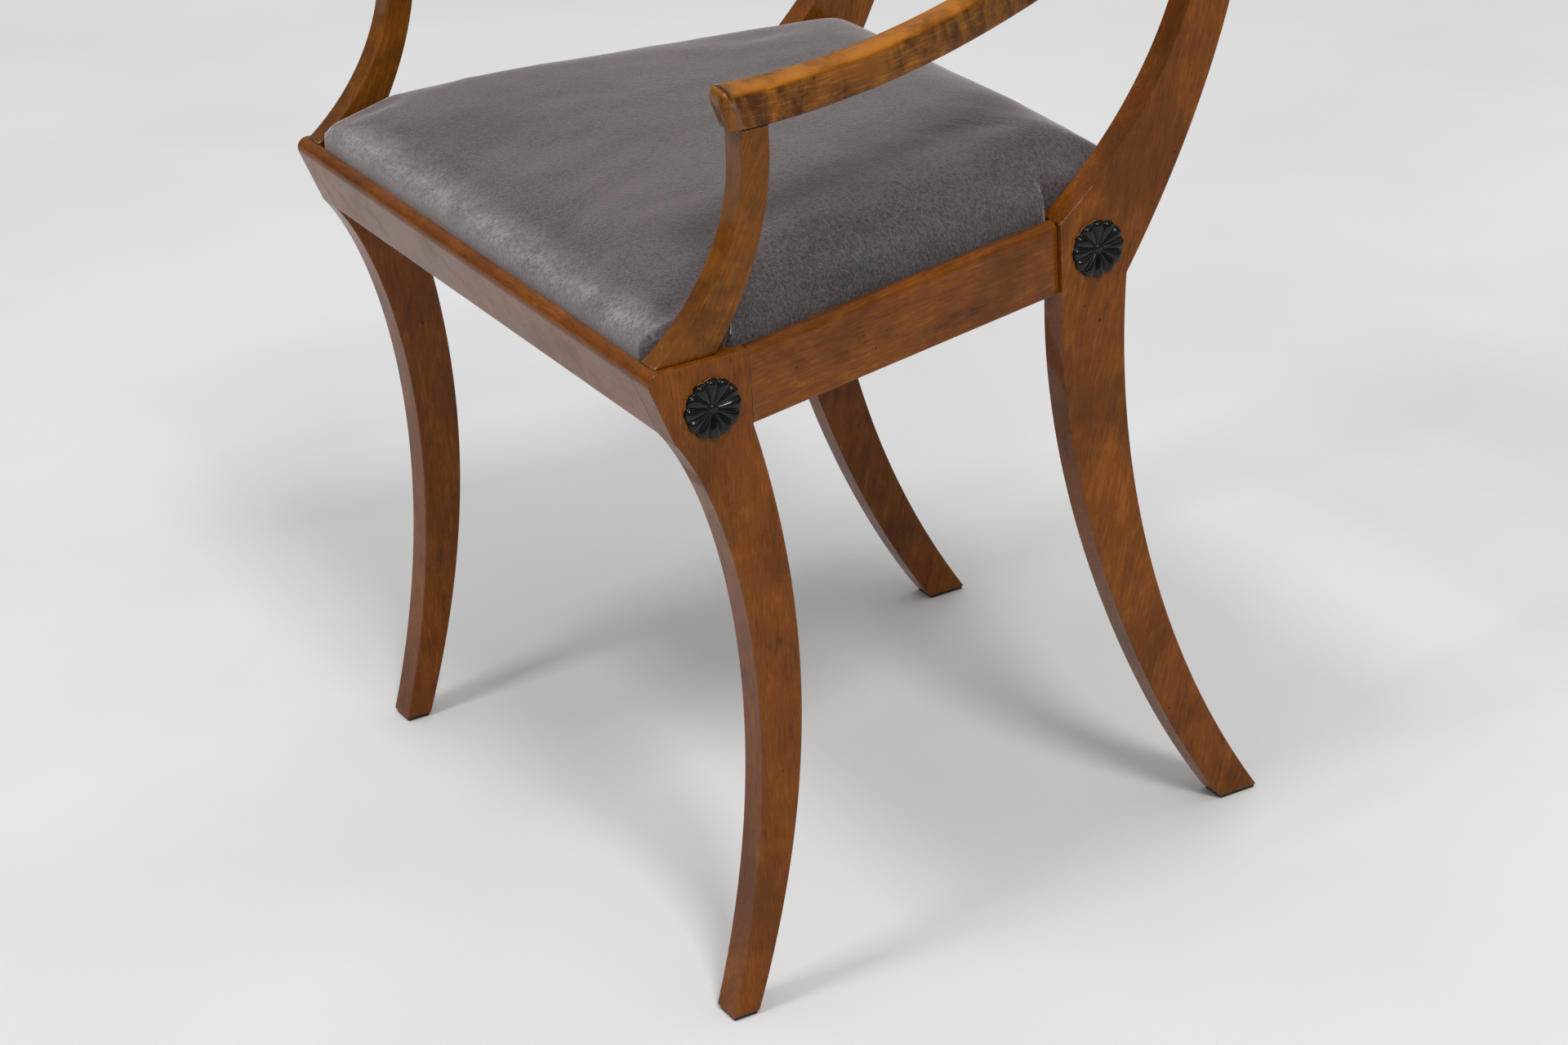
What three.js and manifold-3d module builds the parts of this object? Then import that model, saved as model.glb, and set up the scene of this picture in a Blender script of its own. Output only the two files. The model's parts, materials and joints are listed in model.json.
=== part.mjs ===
// Klismos armchair: sabre legs, leaning arm posts, curved arms and crest rail, a drop-in seat and carved rosettes.
// Millimetres, +Z up. The chair faces -Y, and the sitter's left is +X. Left-hand pieces are mirrored for the right.
import * as THREE from 'three';
import { mergeVertices } from 'three/addons/utils/BufferGeometryUtils.js';
import Module from 'manifold-3d';

const wasm = await Module();
wasm.setup();

// Driving dimensions of the frame
const frameHeight = 447; // top of the seat rails
const railDepth = 47; // height of the seat rails
const frontWidth = 506; // over the outer faces of the front legs
const rearWidth = 396; // over the outer faces of the rear legs
const frontLegThickness = 22;
const rearLegThickness = 21;
const frontHeadDepth = 70; // front leg's head, front corner to side rail
const rearLegFront = 322.5; // front face of the rear legs at the side rails
const rearHeadDepth = 49; // rear leg, front to back, at the bend
const stileHeight = 850; // floor to the top of the rear leg's stile
const stileReach = 163; // how far the stile's front edge runs back above the seat
const stileHeadDepth = 24;

// Clearances and edges
const seam = 0.3; // between pieces that touch
const fitGap = 0.3; // round a tenon, peg or screw in its hole
const overrun = 4; // how far a cutting or joining shape runs past its face
const arris = 1; // broken edges of the boards
const curveSteps = 13;
const weld = 0.001; // points nearer than this are one point

// Levels and planes worked out from the driving dimensions
const frameBottom = frameHeight - railDepth;
const frontOuter = frontWidth / 2;
const frontInner = frontOuter - frontLegThickness;
const rearOuter = rearWidth / 2;
const rearInner = rearOuter - rearLegThickness;

// Sabre curve of the front leg
const glideThickness = 2.5;
const frontFootSet = 29; // foot behind the leg head's front corner
const frontFootDepth = 19;
const frontLegFrontShares = [[0.736, 0.886], [1.301, 0.505]];
const frontLegRearShares = [[1.436, 0.7], [1.483, 0.393]];

// Sabre curve of the rear leg
const rearFootReach = 116.5; // foot behind the leg's front face at the rails
const rearFootDepth = 30;
const rearBendRise = 3; // bend at the back of the leg above the rails' underside
const rearLegFrontShares = [[-0.078, 0.645], [0.481, 0.23]];
const rearLegRearShares = [[0.284, 0.61], [0.705, 0.26]];

// Stile above the seat: where its two curved stretches meet, and the pull of each
const stileJoinShares = [0.675, 0.402];
const stileFrontLowShares = [[0.282, 0.081], [0.599, 0.233]];
const stileFrontHighShares = [[0.764, 0.6], [0.89, 0.8]];
const stileBackJoinShares = [0.871, 0.402];
const stileBackLowShares = [[0.503, 0.014], [0.755, 0.196]];
const stileBackHighShares = [[0.957, 0.583], [1.055, 0.806]];

// Seat rails
const cantRun = 17.5; // the front face leans back by this much over the rail's depth
const noseRadius = 7; // rounded top front edge
const frontRailBack = 33.5; // upright inner face of the front rail
const frontLip = 10.5; // wood left in front of the seat
const rebateDepth = 12;
const sideRailThickness = 19;
const sideRailLip = 8;
const sideRailRound = 5;
const sideRailFrontInset = 0.5; // outer face behind the leg's outer face
const sideRailRearInset = 3.5;
const backRailDepth = 18; // at its underside
const rebateFloor = frameHeight - rebateDepth;

// Tenons of the rails
const tenonThickness = 9;
const tenonShoulder = 8; // above the rails' underside
const tenonHeight = 23;
const frontTenonSet = 20.5; // behind the leg head's front corner
const frontTenonLength = 14;
const sideTenonLength = 20;
const sideTenonInset = 7; // behind the leg's outer face
const backTenonLength = 14;
const backTenonHeight = 18;
const backTenonInset = 5; // behind the back rail's inner face

// Arm posts
const postHeight = 133; // leg head to the underside of the arm
const postThickness = 17;
const postSet = 9.5; // behind the leg head's front corner
const postFootDepth = 42;
const postReach = 66; // how far the post's front edge runs back
const postFrontShares = [[0.56, 0.195], [1, 0.511], [1, 0.872]];
const postRearShares = [[0.94, 0.233], [1.242, 0.564], [1.242, 0.925]];
const postTenonSet = 23; // behind the post's front edge
const postTenonDepth = 14;
const postTenonThickness = 8;
const postFootTenonLength = 18;
const postHeadTenonLength = 14;
const postHeadTenonDepth = 9;

// Arms
const armHeight = 24.5;
const armFrontWidth = 19;
const armRearWidth = 18;
const armFrontSet = 67; // front end behind the leg head's front corner
const armFrontX = 239.5; // centre line, out from the chair's middle
const armMeetShare = 0.532; // where the arm's middle meets the stile, in the stile's rise above the rails
const armBowShares = [[0.235, 0.333, -0.03], [-0.904, 0.667, 0.3]];
const armEndLean = 6; // the front end leans forward at the top
const armEndShare = 0.125; // of the arm's length, over which that lean dies away
const armTopRound = 5;
const armUnderRound = 2.5;
const armEndChamfer = 2;
const armSteps = 18;
const armTenonHeight = 13;
const armTenonThickness = 8;
const armTenonLength = 16;

// Crest rail and cross rail
const backRadius = 430; // plan curve of both rails
const crestHalfLength = 228;
const crestHeight = 92;
const crestThickness = 18;
const crestStand = 8; // the crest rail's top above the stiles
const crestLap = 10; // how deep the crest rail sits in the stiles
const crestEndDropShare = 0.16;
const crestEndPower = 6; // how late the drop sets in towards the end
const crestRound = 5;
const crossHeight = 34;
const crossThickness = 14;
const crossRiseShare = 0.434; // middle of the cross rail, in the stile's rise above the rails
const crossSetShare = 0.5; // place in the depth of the stile
const crossTenonLength = 12;
const crossTenonHeight = 20;
const crossTenonThickness = 7;
const crossRound = 4;
const railSteps = 14;

// Rosettes
const rosetteRadius = 19;
const rosetteRise = 4.5;
const rosettePetals = 12;
const petalSteps = 4;
const rosetteScallopShare = 0.08; // depth of the notches between petals, at the rim
const rosetteGrooveShare = 0.5; // of the rise, left at the bottom of the grooves
const rosettePetalShares = [[1, 0.35], [0.93, 0.85], [0.78, 1], [0.24, 0.5]];
const rosetteButtonShares = [[0.16, 0.3], [0.14, 0.62], [0.06, 0.75]];
const rosettePegRadius = 3;
const rosettePegLength = 9;
const frontRosetteSet = 43; // behind the leg head's front corner
const frontRosetteDrop = 30; // below the top of the rails
const rearRosetteSet = 26.5; // behind the leg's front face
const rearRosetteDrop = 22;

// Glides
const glideInset = 1.2;
const glidePinRadius = 1.2;
const glidePinLength = 11;

// Corner blocks and their screws
const blockHeight = 26;
const blockDrop = 2; // below the rebate's floor
const blockReach = 40; // along the front and back rails
const blockEdge = 2; // left at the ends of the long face
const screwRadius = 2;
const screwLength = 32;
const screwHeadRadius = 4;
const screwHeadHeight = 3;
const screwBite = 12; // length in the rail
const screwStepShare = 0.28; // height of the lower screw in its block
const screwSetShare = 0.3; // place along the block's face

// Drop-in seat
const seatGap = 1.5; // between the cover and the rebate's wall
const coverThickness = 1.7; // fabric over the seat frame's edge
const seatBarWidth = 44;
const seatBarHeight = 20;
const seatRearOverhang = 2; // cover behind the back rail's rear top edge
const seatPostGap = 8; // behind the post's foot
const seatTenonLength = 20;
const seatTenonWidth = 24;
const seatTenonThickness = 8;
const webWidth = 50;
const webThickness = 1.5;
const webLaneShares = [-0.3, 0, 0.3];
const webLandShare = 0.5; // how far the webbing runs onto the bars
const webMarginShare = 0.36; // of a bar, from the cover to the hollow over the webbing
const canvasThickness = 1;
const dustCoverThickness = 0.8;
const dustCoverLand = 8; // inside the rails' inner faces
const padEdgeHeight = 22; // above the rails
const padCrown = 18; // above the pad's edge
const padCornerRadius = 12;
const padNotchRadius = 3;
const padSkirtRise = 2; // the cover's hem above the rebate's floor
const padShoulderShares = [
  [0, 0.2], [0.004, 0.5], [0.012, 0.78], [0.03, 0.95], [0.065, 1.02],
];
const padCrownShares = [0.84, 0.66, 0.46, 0.22];
const padCrownPower = 2.2;
const padCalmShare = 0.5; // ring where the plan has lost its notches
const padSquareness = 4; // of the calm plan's corners
const padLean = 0.404; // run back for each unit of rise, as the posts and stiles lean

// Finishes
const birch = new THREE.MeshStandardMaterial({ color: 0x7a4a24, roughness: 0.34, metalness: 0, flatShading: true });
const figuredBirch = new THREE.MeshStandardMaterial({ color: 0xa4692c, roughness: 0.3, metalness: 0, flatShading: true });
const ebonised = new THREE.MeshStandardMaterial({ color: 0x141414, roughness: 0.28, metalness: 0, flatShading: true });
const velvet = new THREE.MeshStandardMaterial({ color: 0x6f6569, roughness: 0.95, metalness: 0, flatShading: true });
const softwood = new THREE.MeshStandardMaterial({ color: 0xc9a878, roughness: 0.7, metalness: 0, flatShading: true });
const jute = new THREE.MeshStandardMaterial({ color: 0xa98a5c, roughness: 0.95, metalness: 0, flatShading: true });
const canvas = new THREE.MeshStandardMaterial({ color: 0xcdbd9c, roughness: 0.95, metalness: 0, flatShading: true });
const blackCloth = new THREE.MeshStandardMaterial({ color: 0x1d1c1e, roughness: 0.95, metalness: 0, flatShading: true });
const leather = new THREE.MeshStandardMaterial({ color: 0x241a14, roughness: 0.75, metalness: 0, flatShading: true });
const steel = new THREE.MeshStandardMaterial({ color: 0x8d8f92, roughness: 0.4, metalness: 1, flatShading: true });

// Solids for joining and cutting, and back to geometry
function solid(geometry) {
  const bare = geometry.clone();
  bare.deleteAttribute('normal');
  bare.deleteAttribute('uv');
  const merged = mergeVertices(bare, weld);
  return new wasm.Manifold(new wasm.Mesh({
    numProp: 3,
    vertProperties: new Float32Array(merged.attributes.position.array),
    triVerts: new Uint32Array(merged.index.array),
  }));
}

function toGeometry(piece) {
  const shape = piece.getMesh();
  const geometry = new THREE.BufferGeometry();
  geometry.setAttribute('position', new THREE.BufferAttribute(new Float32Array(shape.vertProperties), 3));
  geometry.setIndex(new THREE.BufferAttribute(new Uint32Array(shape.triVerts), 1));
  return geometry;
}

// A box between two planes along each axis, grown on every side by a clearance
function slab(place, grow = 0) {
  const size = ['x', 'y', 'z'].map((axis) => place[axis][1] - place[axis][0] + grow * 2);
  const middle = ['x', 'y', 'z'].map((axis) => (place[axis][0] + place[axis][1]) / 2);
  return solid(new THREE.BoxGeometry(...size).translate(...middle));
}

// A round peg along an axis from one point, with an overrun at its start
function peg(radius, length, start, direction, segments = 12) {
  const turn = new THREE.Quaternion().setFromUnitVectors(new THREE.Vector3(0, 1, 0), direction);
  const geometry = new THREE.CylinderGeometry(radius, radius, length, segments).translate(0, length / 2, 0);
  return solid(geometry.applyQuaternion(turn).translate(start.x, start.y, start.z));
}

// A board cut to an outline in the side view, standing between two planes across the chair
function sideBoard(outline, inner, thickness, edge = arris) {
  const geometry = new THREE.ExtrudeGeometry(outline, {
    depth: thickness - edge * 2,
    bevelEnabled: edge > 0,
    bevelThickness: edge,
    bevelSize: edge,
    bevelOffset: -edge,
    bevelSegments: 1,
    curveSegments: curveSteps,
  });
  const upright = new THREE.Matrix4().makeBasis(
    new THREE.Vector3(0, 1, 0), new THREE.Vector3(0, 0, 1), new THREE.Vector3(1, 0, 0),
  );
  return geometry.applyMatrix4(upright).translate(inner + edge, 0, 0);
}

// A plate cut to an outline in plan
function planBoard(outline, bottom, thickness) {
  const geometry = new THREE.ExtrudeGeometry(outline, {
    depth: thickness, bevelEnabled: false, curveSegments: curveSteps,
  });
  return geometry.translate(0, 0, bottom);
}

function polygon(points) {
  return new THREE.Shape(points.map(([a, b]) => new THREE.Vector2(a, b)));
}

// Rings of equal length joined into one closed skin, with a fan over each end
function loft(rings) {
  const count = rings[0].length;
  const points = rings.flat();
  const faces = [];
  for (let ring = 0; ring + 1 < rings.length; ring += 1) {
    for (let i = 0; i < count; i += 1) {
      const a = ring * count + i;
      const b = ring * count + ((i + 1) % count);
      faces.push(a, b, a + count, b, b + count, a + count);
    }
  }
  [rings[0], rings[rings.length - 1]].forEach((ring, end) => {
    const centre = ring.reduce((sum, p) => sum.add(p), new THREE.Vector3()).divideScalar(count);
    const hub = points.push(centre) - 1;
    const first = end === 0 ? 0 : (rings.length - 1) * count;
    for (let i = 0; i < count; i += 1) {
      const a = first + i;
      const b = first + ((i + 1) % count);
      faces.push(...(end === 0 ? [b, a, hub] : [a, b, hub]));
    }
  });
  const geometry = new THREE.BufferGeometry().setFromPoints(points);
  geometry.setIndex(faces);
  return geometry;
}

// A rounded rectangle as a ring of [across, up] pairs, running from across towards up
function roundedSection(width, height, topRadius, underRadius, steps = 2) {
  const corners = [
    [width / 2 - topRadius, height / 2 - topRadius, topRadius, 0],
    [topRadius - width / 2, height / 2 - topRadius, topRadius, 1],
    [underRadius - width / 2, underRadius - height / 2, underRadius, 2],
    [width / 2 - underRadius, underRadius - height / 2, underRadius, 3],
  ];
  return corners.flatMap(([across, up, radius, quarter]) => Array.from({ length: steps + 1 }, (_, i) => {
    const angle = (quarter + i / steps) * Math.PI / 2;
    return [across + radius * Math.cos(angle), up + radius * Math.sin(angle)];
  }));
}

function mirrored(geometry) {
  const copy = geometry.clone().scale(-1, 1, 1);
  const order = copy.index ? copy.index.array : Uint32Array.from({ length: copy.attributes.position.count }, (_, i) => i);
  const flipped = new Uint32Array(order.length);
  for (let i = 0; i < order.length; i += 3) {
    flipped.set([order[i], order[i + 2], order[i + 1]], i);
  }
  copy.setIndex(new THREE.BufferAttribute(flipped, 1));
  return copy;
}

// One cubic stretch of an outline, its pulls given as shares of a span from an origin
function stretch(shape, origin, span, pulls, end) {
  const at = ([a, b]) => [origin[0] + a * span[0], origin[1] + b * span[1]];
  shape.bezierCurveTo(...at(pulls[0]), ...at(pulls[1]), ...end);
}

// The canted, rounded front that the front rail shares with the heads of the front legs
const cantAngle = Math.atan(cantRun / railDepth);
const noseCentre = noseRadius * Math.tan(cantAngle) + noseRadius / Math.cos(cantAngle);

function nose(shape) {
  shape.lineTo(noseCentre, frameHeight);
  shape.absarc(noseCentre, frameHeight - noseRadius, noseRadius, Math.PI / 2, Math.PI + cantAngle, false);
  shape.lineTo(cantRun, frameBottom);
}

// Tenons, given by the planes that bound them on the left side of the chair
const tenonFloor = frameBottom + tenonShoulder;
const frontTenon = {
  x: [frontInner - overrun, frontInner + frontTenonLength],
  y: [frontTenonSet, frontTenonSet + tenonThickness],
  z: [tenonFloor, tenonFloor + tenonHeight],
};
const sideTenonOuter = frontOuter - sideTenonInset;
const sideFrontTenon = {
  x: [sideTenonOuter - tenonThickness, sideTenonOuter],
  y: [frontHeadDepth - sideTenonLength, frontHeadDepth + overrun],
  z: [tenonFloor, tenonFloor + tenonHeight],
};
const sideRearTenonOuter = rearOuter - sideTenonInset;
const sideRearTenon = {
  x: [sideRearTenonOuter - tenonThickness, sideRearTenonOuter],
  y: [rearLegFront - overrun, rearLegFront + sideTenonLength],
  z: [tenonFloor, tenonFloor + tenonHeight],
};
const backRailInner = rearLegFront + rearHeadDepth - backRailDepth;
const backTenon = {
  x: [rearInner - overrun, rearInner + backTenonLength],
  y: [backRailInner + backTenonInset, backRailInner + backTenonInset + tenonThickness],
  z: [tenonFloor, tenonFloor + backTenonHeight],
};
const postMiddle = frontInner + postThickness / 2;
const postFootTenon = {
  x: [postMiddle - postTenonThickness / 2, postMiddle + postTenonThickness / 2],
  y: [postSet + postTenonSet, postSet + postTenonSet + postTenonDepth],
  z: [frameHeight - postFootTenonLength, frameHeight + overrun],
};
const armUnderside = frameHeight + postHeight;
const postHeadFront = postSet + postReach;
const postHeadBack = postSet + postReach * postRearShares[2][0];
const postHeadMiddle = (postHeadFront + postHeadBack) / 2;
const postHeadTenon = {
  x: postFootTenon.x,
  y: [postHeadMiddle - postHeadTenonDepth / 2, postHeadMiddle + postHeadTenonDepth / 2],
  z: [armUnderside - overrun, armUnderside + postHeadTenonLength],
};

// Rosette centres on the legs' outer faces
const frontRosette = new THREE.Vector3(frontOuter, frontRosetteSet, frameHeight - frontRosetteDrop);
const rearRosette = new THREE.Vector3(rearOuter, rearLegFront + rearRosetteSet, frameHeight - rearRosetteDrop);
const outward = new THREE.Vector3(1, 0, 0);

function rosetteHole(centre) {
  const start = centre.clone().addScaledVector(outward, -rosettePegLength - fitGap);
  return peg(rosettePegRadius + fitGap, rosettePegLength + overrun, start, outward);
}

// Glide pins, in the middle of each foot
const frontFootMiddle = new THREE.Vector3(
  (frontOuter + frontInner) / 2, frontFootSet + frontFootDepth / 2, glideThickness,
);
const rearFootMiddle = new THREE.Vector3(
  (rearOuter + rearInner) / 2, rearLegFront + rearFootReach + rearFootDepth / 2, glideThickness,
);
const upward = new THREE.Vector3(0, 0, 1);

function glideHole(foot) {
  const start = foot.clone().addScaledVector(upward, -overrun);
  return peg(glidePinRadius + fitGap, glidePinLength + overrun + fitGap, start, upward, 8);
}

// Front leg: a head that carries the rails and the arm post, and a sabre leg below it, in one board
function frontLeg() {
  const legSpan = [frontHeadDepth, frameBottom];
  const outline = new THREE.Shape();
  outline.moveTo(frontFootSet, glideThickness);
  outline.lineTo(frontFootSet + frontFootDepth, glideThickness);
  const up = [frontLegRearShares[1], frontLegRearShares[0]];
  stretch(outline, [0, 0], legSpan, up, [frontHeadDepth, frameBottom]);
  outline.lineTo(frontHeadDepth, frameHeight);
  nose(outline);
  stretch(outline, [0, 0], legSpan, frontLegFrontShares, [frontFootSet, glideThickness]);
  return solid(sideBoard(outline, frontInner, frontLegThickness))
    .subtract(slab(frontTenon, fitGap))
    .subtract(slab(sideFrontTenon, fitGap))
    .subtract(slab(postFootTenon, fitGap))
    .subtract(rosetteHole(frontRosette))
    .subtract(glideHole(frontFootMiddle))
    .subtract(screwHole(frontSideScrew));
}

// Rear leg: the sabre leg, the head behind the side rail and the stile, in one board
function rearLegOutline() {
  const legOrigin = [rearLegFront, 0];
  const legSpan = [rearFootReach, frameBottom];
  const stileOrigin = [rearLegFront, frameHeight];
  const stileSpan = [stileReach, stileHeight - frameHeight];
  const at = ([a, b]) => [stileOrigin[0] + a * stileSpan[0], stileOrigin[1] + b * stileSpan[1]];
  const bend = [rearLegFront + rearHeadDepth, frameBottom + rearBendRise];
  const footFront = rearLegFront + rearFootReach;
  const outline = new THREE.Shape();
  outline.moveTo(footFront, glideThickness);
  outline.lineTo(footFront + rearFootDepth, glideThickness);
  stretch(outline, legOrigin, legSpan, [rearLegRearShares[1], rearLegRearShares[0]], bend);
  stretch(outline, stileOrigin, stileSpan, stileBackLowShares, at(stileBackJoinShares));
  const head = [rearLegFront + stileReach, stileHeight];
  stretch(outline, stileOrigin, stileSpan, stileBackHighShares, [head[0] + stileHeadDepth, stileHeight]);
  outline.lineTo(...head);
  const downHigh = [stileFrontHighShares[1], stileFrontHighShares[0]];
  stretch(outline, stileOrigin, stileSpan, downHigh, at(stileJoinShares));
  const downLow = [stileFrontLowShares[1], stileFrontLowShares[0]];
  stretch(outline, stileOrigin, stileSpan, downLow, stileOrigin);
  outline.lineTo(rearLegFront, frameBottom);
  stretch(outline, legOrigin, legSpan, rearLegFrontShares, [footFront, glideThickness]);
  return outline;
}

// Front edge of the stile at a height, found on its outline's upper stretch
function stileFrontAt(height) {
  const low = stileJoinShares;
  const pulls = stileFrontHighShares;
  const rise = (height - frameHeight) / (stileHeight - frameHeight);
  const stretchOf = (t, k) => (1 - t) ** 3 * low[k] + 3 * (1 - t) ** 2 * t * pulls[0][k]
    + 3 * (1 - t) * t ** 2 * pulls[1][k] + t ** 3;
  let below = 0;
  let above = 1;
  for (let i = 0; i < 40; i += 1) {
    const t = (below + above) / 2;
    if (stretchOf(t, 1) < rise) {
      below = t;
    } else {
      above = t;
    }
  }
  return rearLegFront + stileReach * stretchOf(below, 0);
}

function rearLeg(crest) {
  return solid(sideBoard(rearLegOutline(), rearInner, rearLegThickness))
    .subtract(slab(sideRearTenon, fitGap))
    .subtract(slab(backTenon, fitGap))
    .subtract(slab(crossTenon, fitGap))
    .subtract(slab(armTenon, fitGap))
    .subtract(crest)
    .subtract(rosetteHole(rearRosette))
    .subtract(glideHole(rearFootMiddle));
}

// Front rail: canted, rounded front, rebate for the seat, a tenon at each end
function frontRail() {
  const outline = new THREE.Shape();
  outline.moveTo(cantRun, frameBottom);
  outline.lineTo(frontRailBack, frameBottom);
  outline.lineTo(frontRailBack, rebateFloor);
  outline.lineTo(frontLip, rebateFloor);
  outline.lineTo(frontLip, frameHeight);
  nose(outline);
  const half = frontInner - seam;
  let rail = solid(sideBoard(outline, -half, half * 2, 0));
  const tenon = toGeometry(slab(frontTenon));
  rail = rail.add(solid(tenon)).add(solid(mirrored(tenon)));
  const hole = toGeometry(screwHole(frontRailScrew));
  return rail.subtract(solid(hole)).subtract(solid(mirrored(hole)));
}

// Back rail: upright inner face, rear face in line with the bend of the rear legs, flat seat ledge on top
const bendSlope = (stileBackLowShares[0][0] * stileReach - rearHeadDepth)
  / (frameHeight + stileBackLowShares[0][1] * (stileHeight - frameHeight) - frameBottom - rearBendRise);
const backRailTopBack = rearLegFront + rearHeadDepth + bendSlope * (railDepth - rebateDepth - rearBendRise);

function backRail() {
  const outline = polygon([
    [backRailInner, frameBottom],
    [rearLegFront + rearHeadDepth - seam, frameBottom],
    [rearLegFront + rearHeadDepth - seam, frameBottom + rearBendRise],
    [backRailTopBack - seam, rebateFloor],
    [backRailInner, rebateFloor],
  ]);
  const half = rearInner - seam;
  let rail = solid(sideBoard(outline, -half, half * 2, 0));
  const tenon = toGeometry(slab(backTenon));
  rail = rail.add(solid(tenon)).add(solid(mirrored(tenon)));
  const hole = toGeometry(screwHole(backRailScrew));
  return rail.subtract(solid(hole)).subtract(solid(mirrored(hole)));
}

// Side rail: its outer face runs inward to the rear, both ends shouldered square to the legs
const sideRailRun = rearLegFront - frontHeadDepth;
const sideRailFrontX = frontOuter - sideRailFrontInset;
const sideRailRearX = rearOuter - sideRailRearInset;
const sideTaper = (sideRailFrontX - sideRailRearX) / sideRailRun;
const sideAngle = Math.atan(sideTaper);

function sideRailX(y) {
  return sideRailFrontX - (y - frontHeadDepth) * sideTaper;
}

function sideRailInnerX(y) {
  return sideRailX(y) - sideRailThickness / Math.cos(sideAngle);
}

function sideRail() {
  const outline = new THREE.Shape();
  outline.moveTo(0, frameBottom);
  outline.lineTo(0, frameHeight - sideRailRound);
  outline.absarc(sideRailRound, frameHeight - sideRailRound, sideRailRound, Math.PI, Math.PI / 2, true);
  outline.lineTo(sideRailLip, frameHeight);
  outline.lineTo(sideRailLip, rebateFloor);
  outline.lineTo(sideRailThickness, rebateFloor);
  outline.lineTo(sideRailThickness, frameBottom);
  const start = frontHeadDepth - overrun * 2;
  const length = (sideRailRun + overrun * 4) / Math.cos(sideAngle);
  const along = new THREE.Matrix4().makeBasis(
    new THREE.Vector3(-Math.cos(sideAngle), -Math.sin(sideAngle), 0),
    new THREE.Vector3(0, 0, 1),
    new THREE.Vector3(-Math.sin(sideAngle), Math.cos(sideAngle), 0),
  );
  const bar = new THREE.ExtrudeGeometry(outline, { depth: length, bevelEnabled: false, curveSegments: 5 });
  bar.applyMatrix4(along).translate(sideRailX(start), start, 0);
  const between = slab({
    x: [0, frontWidth],
    y: [frontHeadDepth + seam, rearLegFront - seam],
    z: [0, frameHeight * 2],
  });
  return solid(bar).intersect(between).add(slab(sideFrontTenon)).add(slab(sideRearTenon));
}

// Arm: rounded bar on one curve, out and up from the post to the stile
const armCentreZ = armUnderside + armHeight / 2;
const armBackZ = frameHeight + (stileHeight - frameHeight) * armMeetShare;
const armEndY = stileFrontAt(armBackZ);
const armStart = new THREE.Vector3(armFrontX, armFrontSet, armCentreZ);
const armEnd = new THREE.Vector3(rearInner + rearLegThickness / 2, armEndY + overrun * 2, armBackZ);
const armReach = armEnd.clone().sub(armStart);

const armPulls = armBowShares.map(([across, along, up]) => new THREE.Vector3(
  armStart.x - across * armReach.x,
  armStart.y + along * armReach.y,
  armStart.z + up * armReach.z,
));
const armCurve = new THREE.CubicBezierCurve3(armStart, ...armPulls, armEnd);

function armRing(t, inset = 0, push = 0) {
  const centre = armCurve.getPoint(t);
  const along = armCurve.getTangent(t);
  const across = new THREE.Vector3().crossVectors(along, upward).normalize();
  const up = new THREE.Vector3().crossVectors(across, along);
  const width = THREE.MathUtils.lerp(armFrontWidth, armRearWidth, t) - inset * 2;
  const lean = armEndLean * Math.max(0, 1 - t / armEndShare);
  return roundedSection(width, armHeight - inset * 2, armTopRound - inset, armUnderRound - inset / 2)
    .map(([a, b]) => centre.clone()
      .addScaledVector(across, a)
      .addScaledVector(up, b)
      .addScaledVector(along, push - lean * b / armHeight));
}

const armTenonMiddle = armBackZ;
const armTenon = {
  x: [armEnd.x - armTenonThickness / 2, armEnd.x + armTenonThickness / 2],
  y: [armEndY - overrun, armEndY + armTenonLength],
  z: [armTenonMiddle - armTenonHeight / 2, armTenonMiddle + armTenonHeight / 2],
};

function armBar() {
  const rings = [armRing(0, armEndChamfer), armRing(0, 0, armEndChamfer)];
  for (let i = 1; i <= armSteps; i += 1) {
    rings.push(armRing(i / armSteps));
  }
  return solid(loft(rings.map((ring) => ring.reverse())));
}

function arm() {
  const stile = solid(sideBoard(rearLegOutline(), rearInner, rearLegThickness, 0).translate(0, -seam, 0));
  return armBar().subtract(stile).add(slab(armTenon)).subtract(slab(postHeadTenon, fitGap));
}

// Arm post: leans back from the leg's head and swings upright under the arm
function armPost() {
  const origin = [postSet, frameHeight];
  const span = [postReach, postHeight];
  const at = ([a, b]) => [origin[0] + a * span[0], origin[1] + b * span[1]];
  const foot = frameHeight + seam;
  const head = armUnderside + overrun;
  const outline = new THREE.Shape();
  outline.moveTo(postSet, foot);
  outline.lineTo(postSet + postFootDepth, foot);
  stretch(outline, origin, span, postRearShares, at(postRearShares[2]));
  outline.lineTo(postHeadBack, head);
  outline.lineTo(postHeadFront, head);
  outline.lineTo(...at(postFrontShares[2]));
  stretch(outline, origin, span, [postFrontShares[1], postFrontShares[0]], [postSet, foot]);
  const under = solid(toGeometry(armBar()).translate(0, 0, -seam));
  return solid(sideBoard(outline, frontInner, postThickness))
    .subtract(under)
    .add(slab(postFootTenon))
    .add(slab(postHeadTenon));
}

// Rails of the back: sections on upright planes, swept on a plan curve and leaned with the stiles
const crossMiddle = frameHeight + (stileHeight - frameHeight) * crossRiseShare;
const backLean = (stileFrontAt(stileHeight) - stileFrontAt(crossMiddle)) / (stileHeight - crossMiddle);
const stileX = (rearOuter + rearInner) / 2;

function planBow(x) {
  return backRadius - Math.sqrt(backRadius ** 2 - x ** 2);
}

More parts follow.
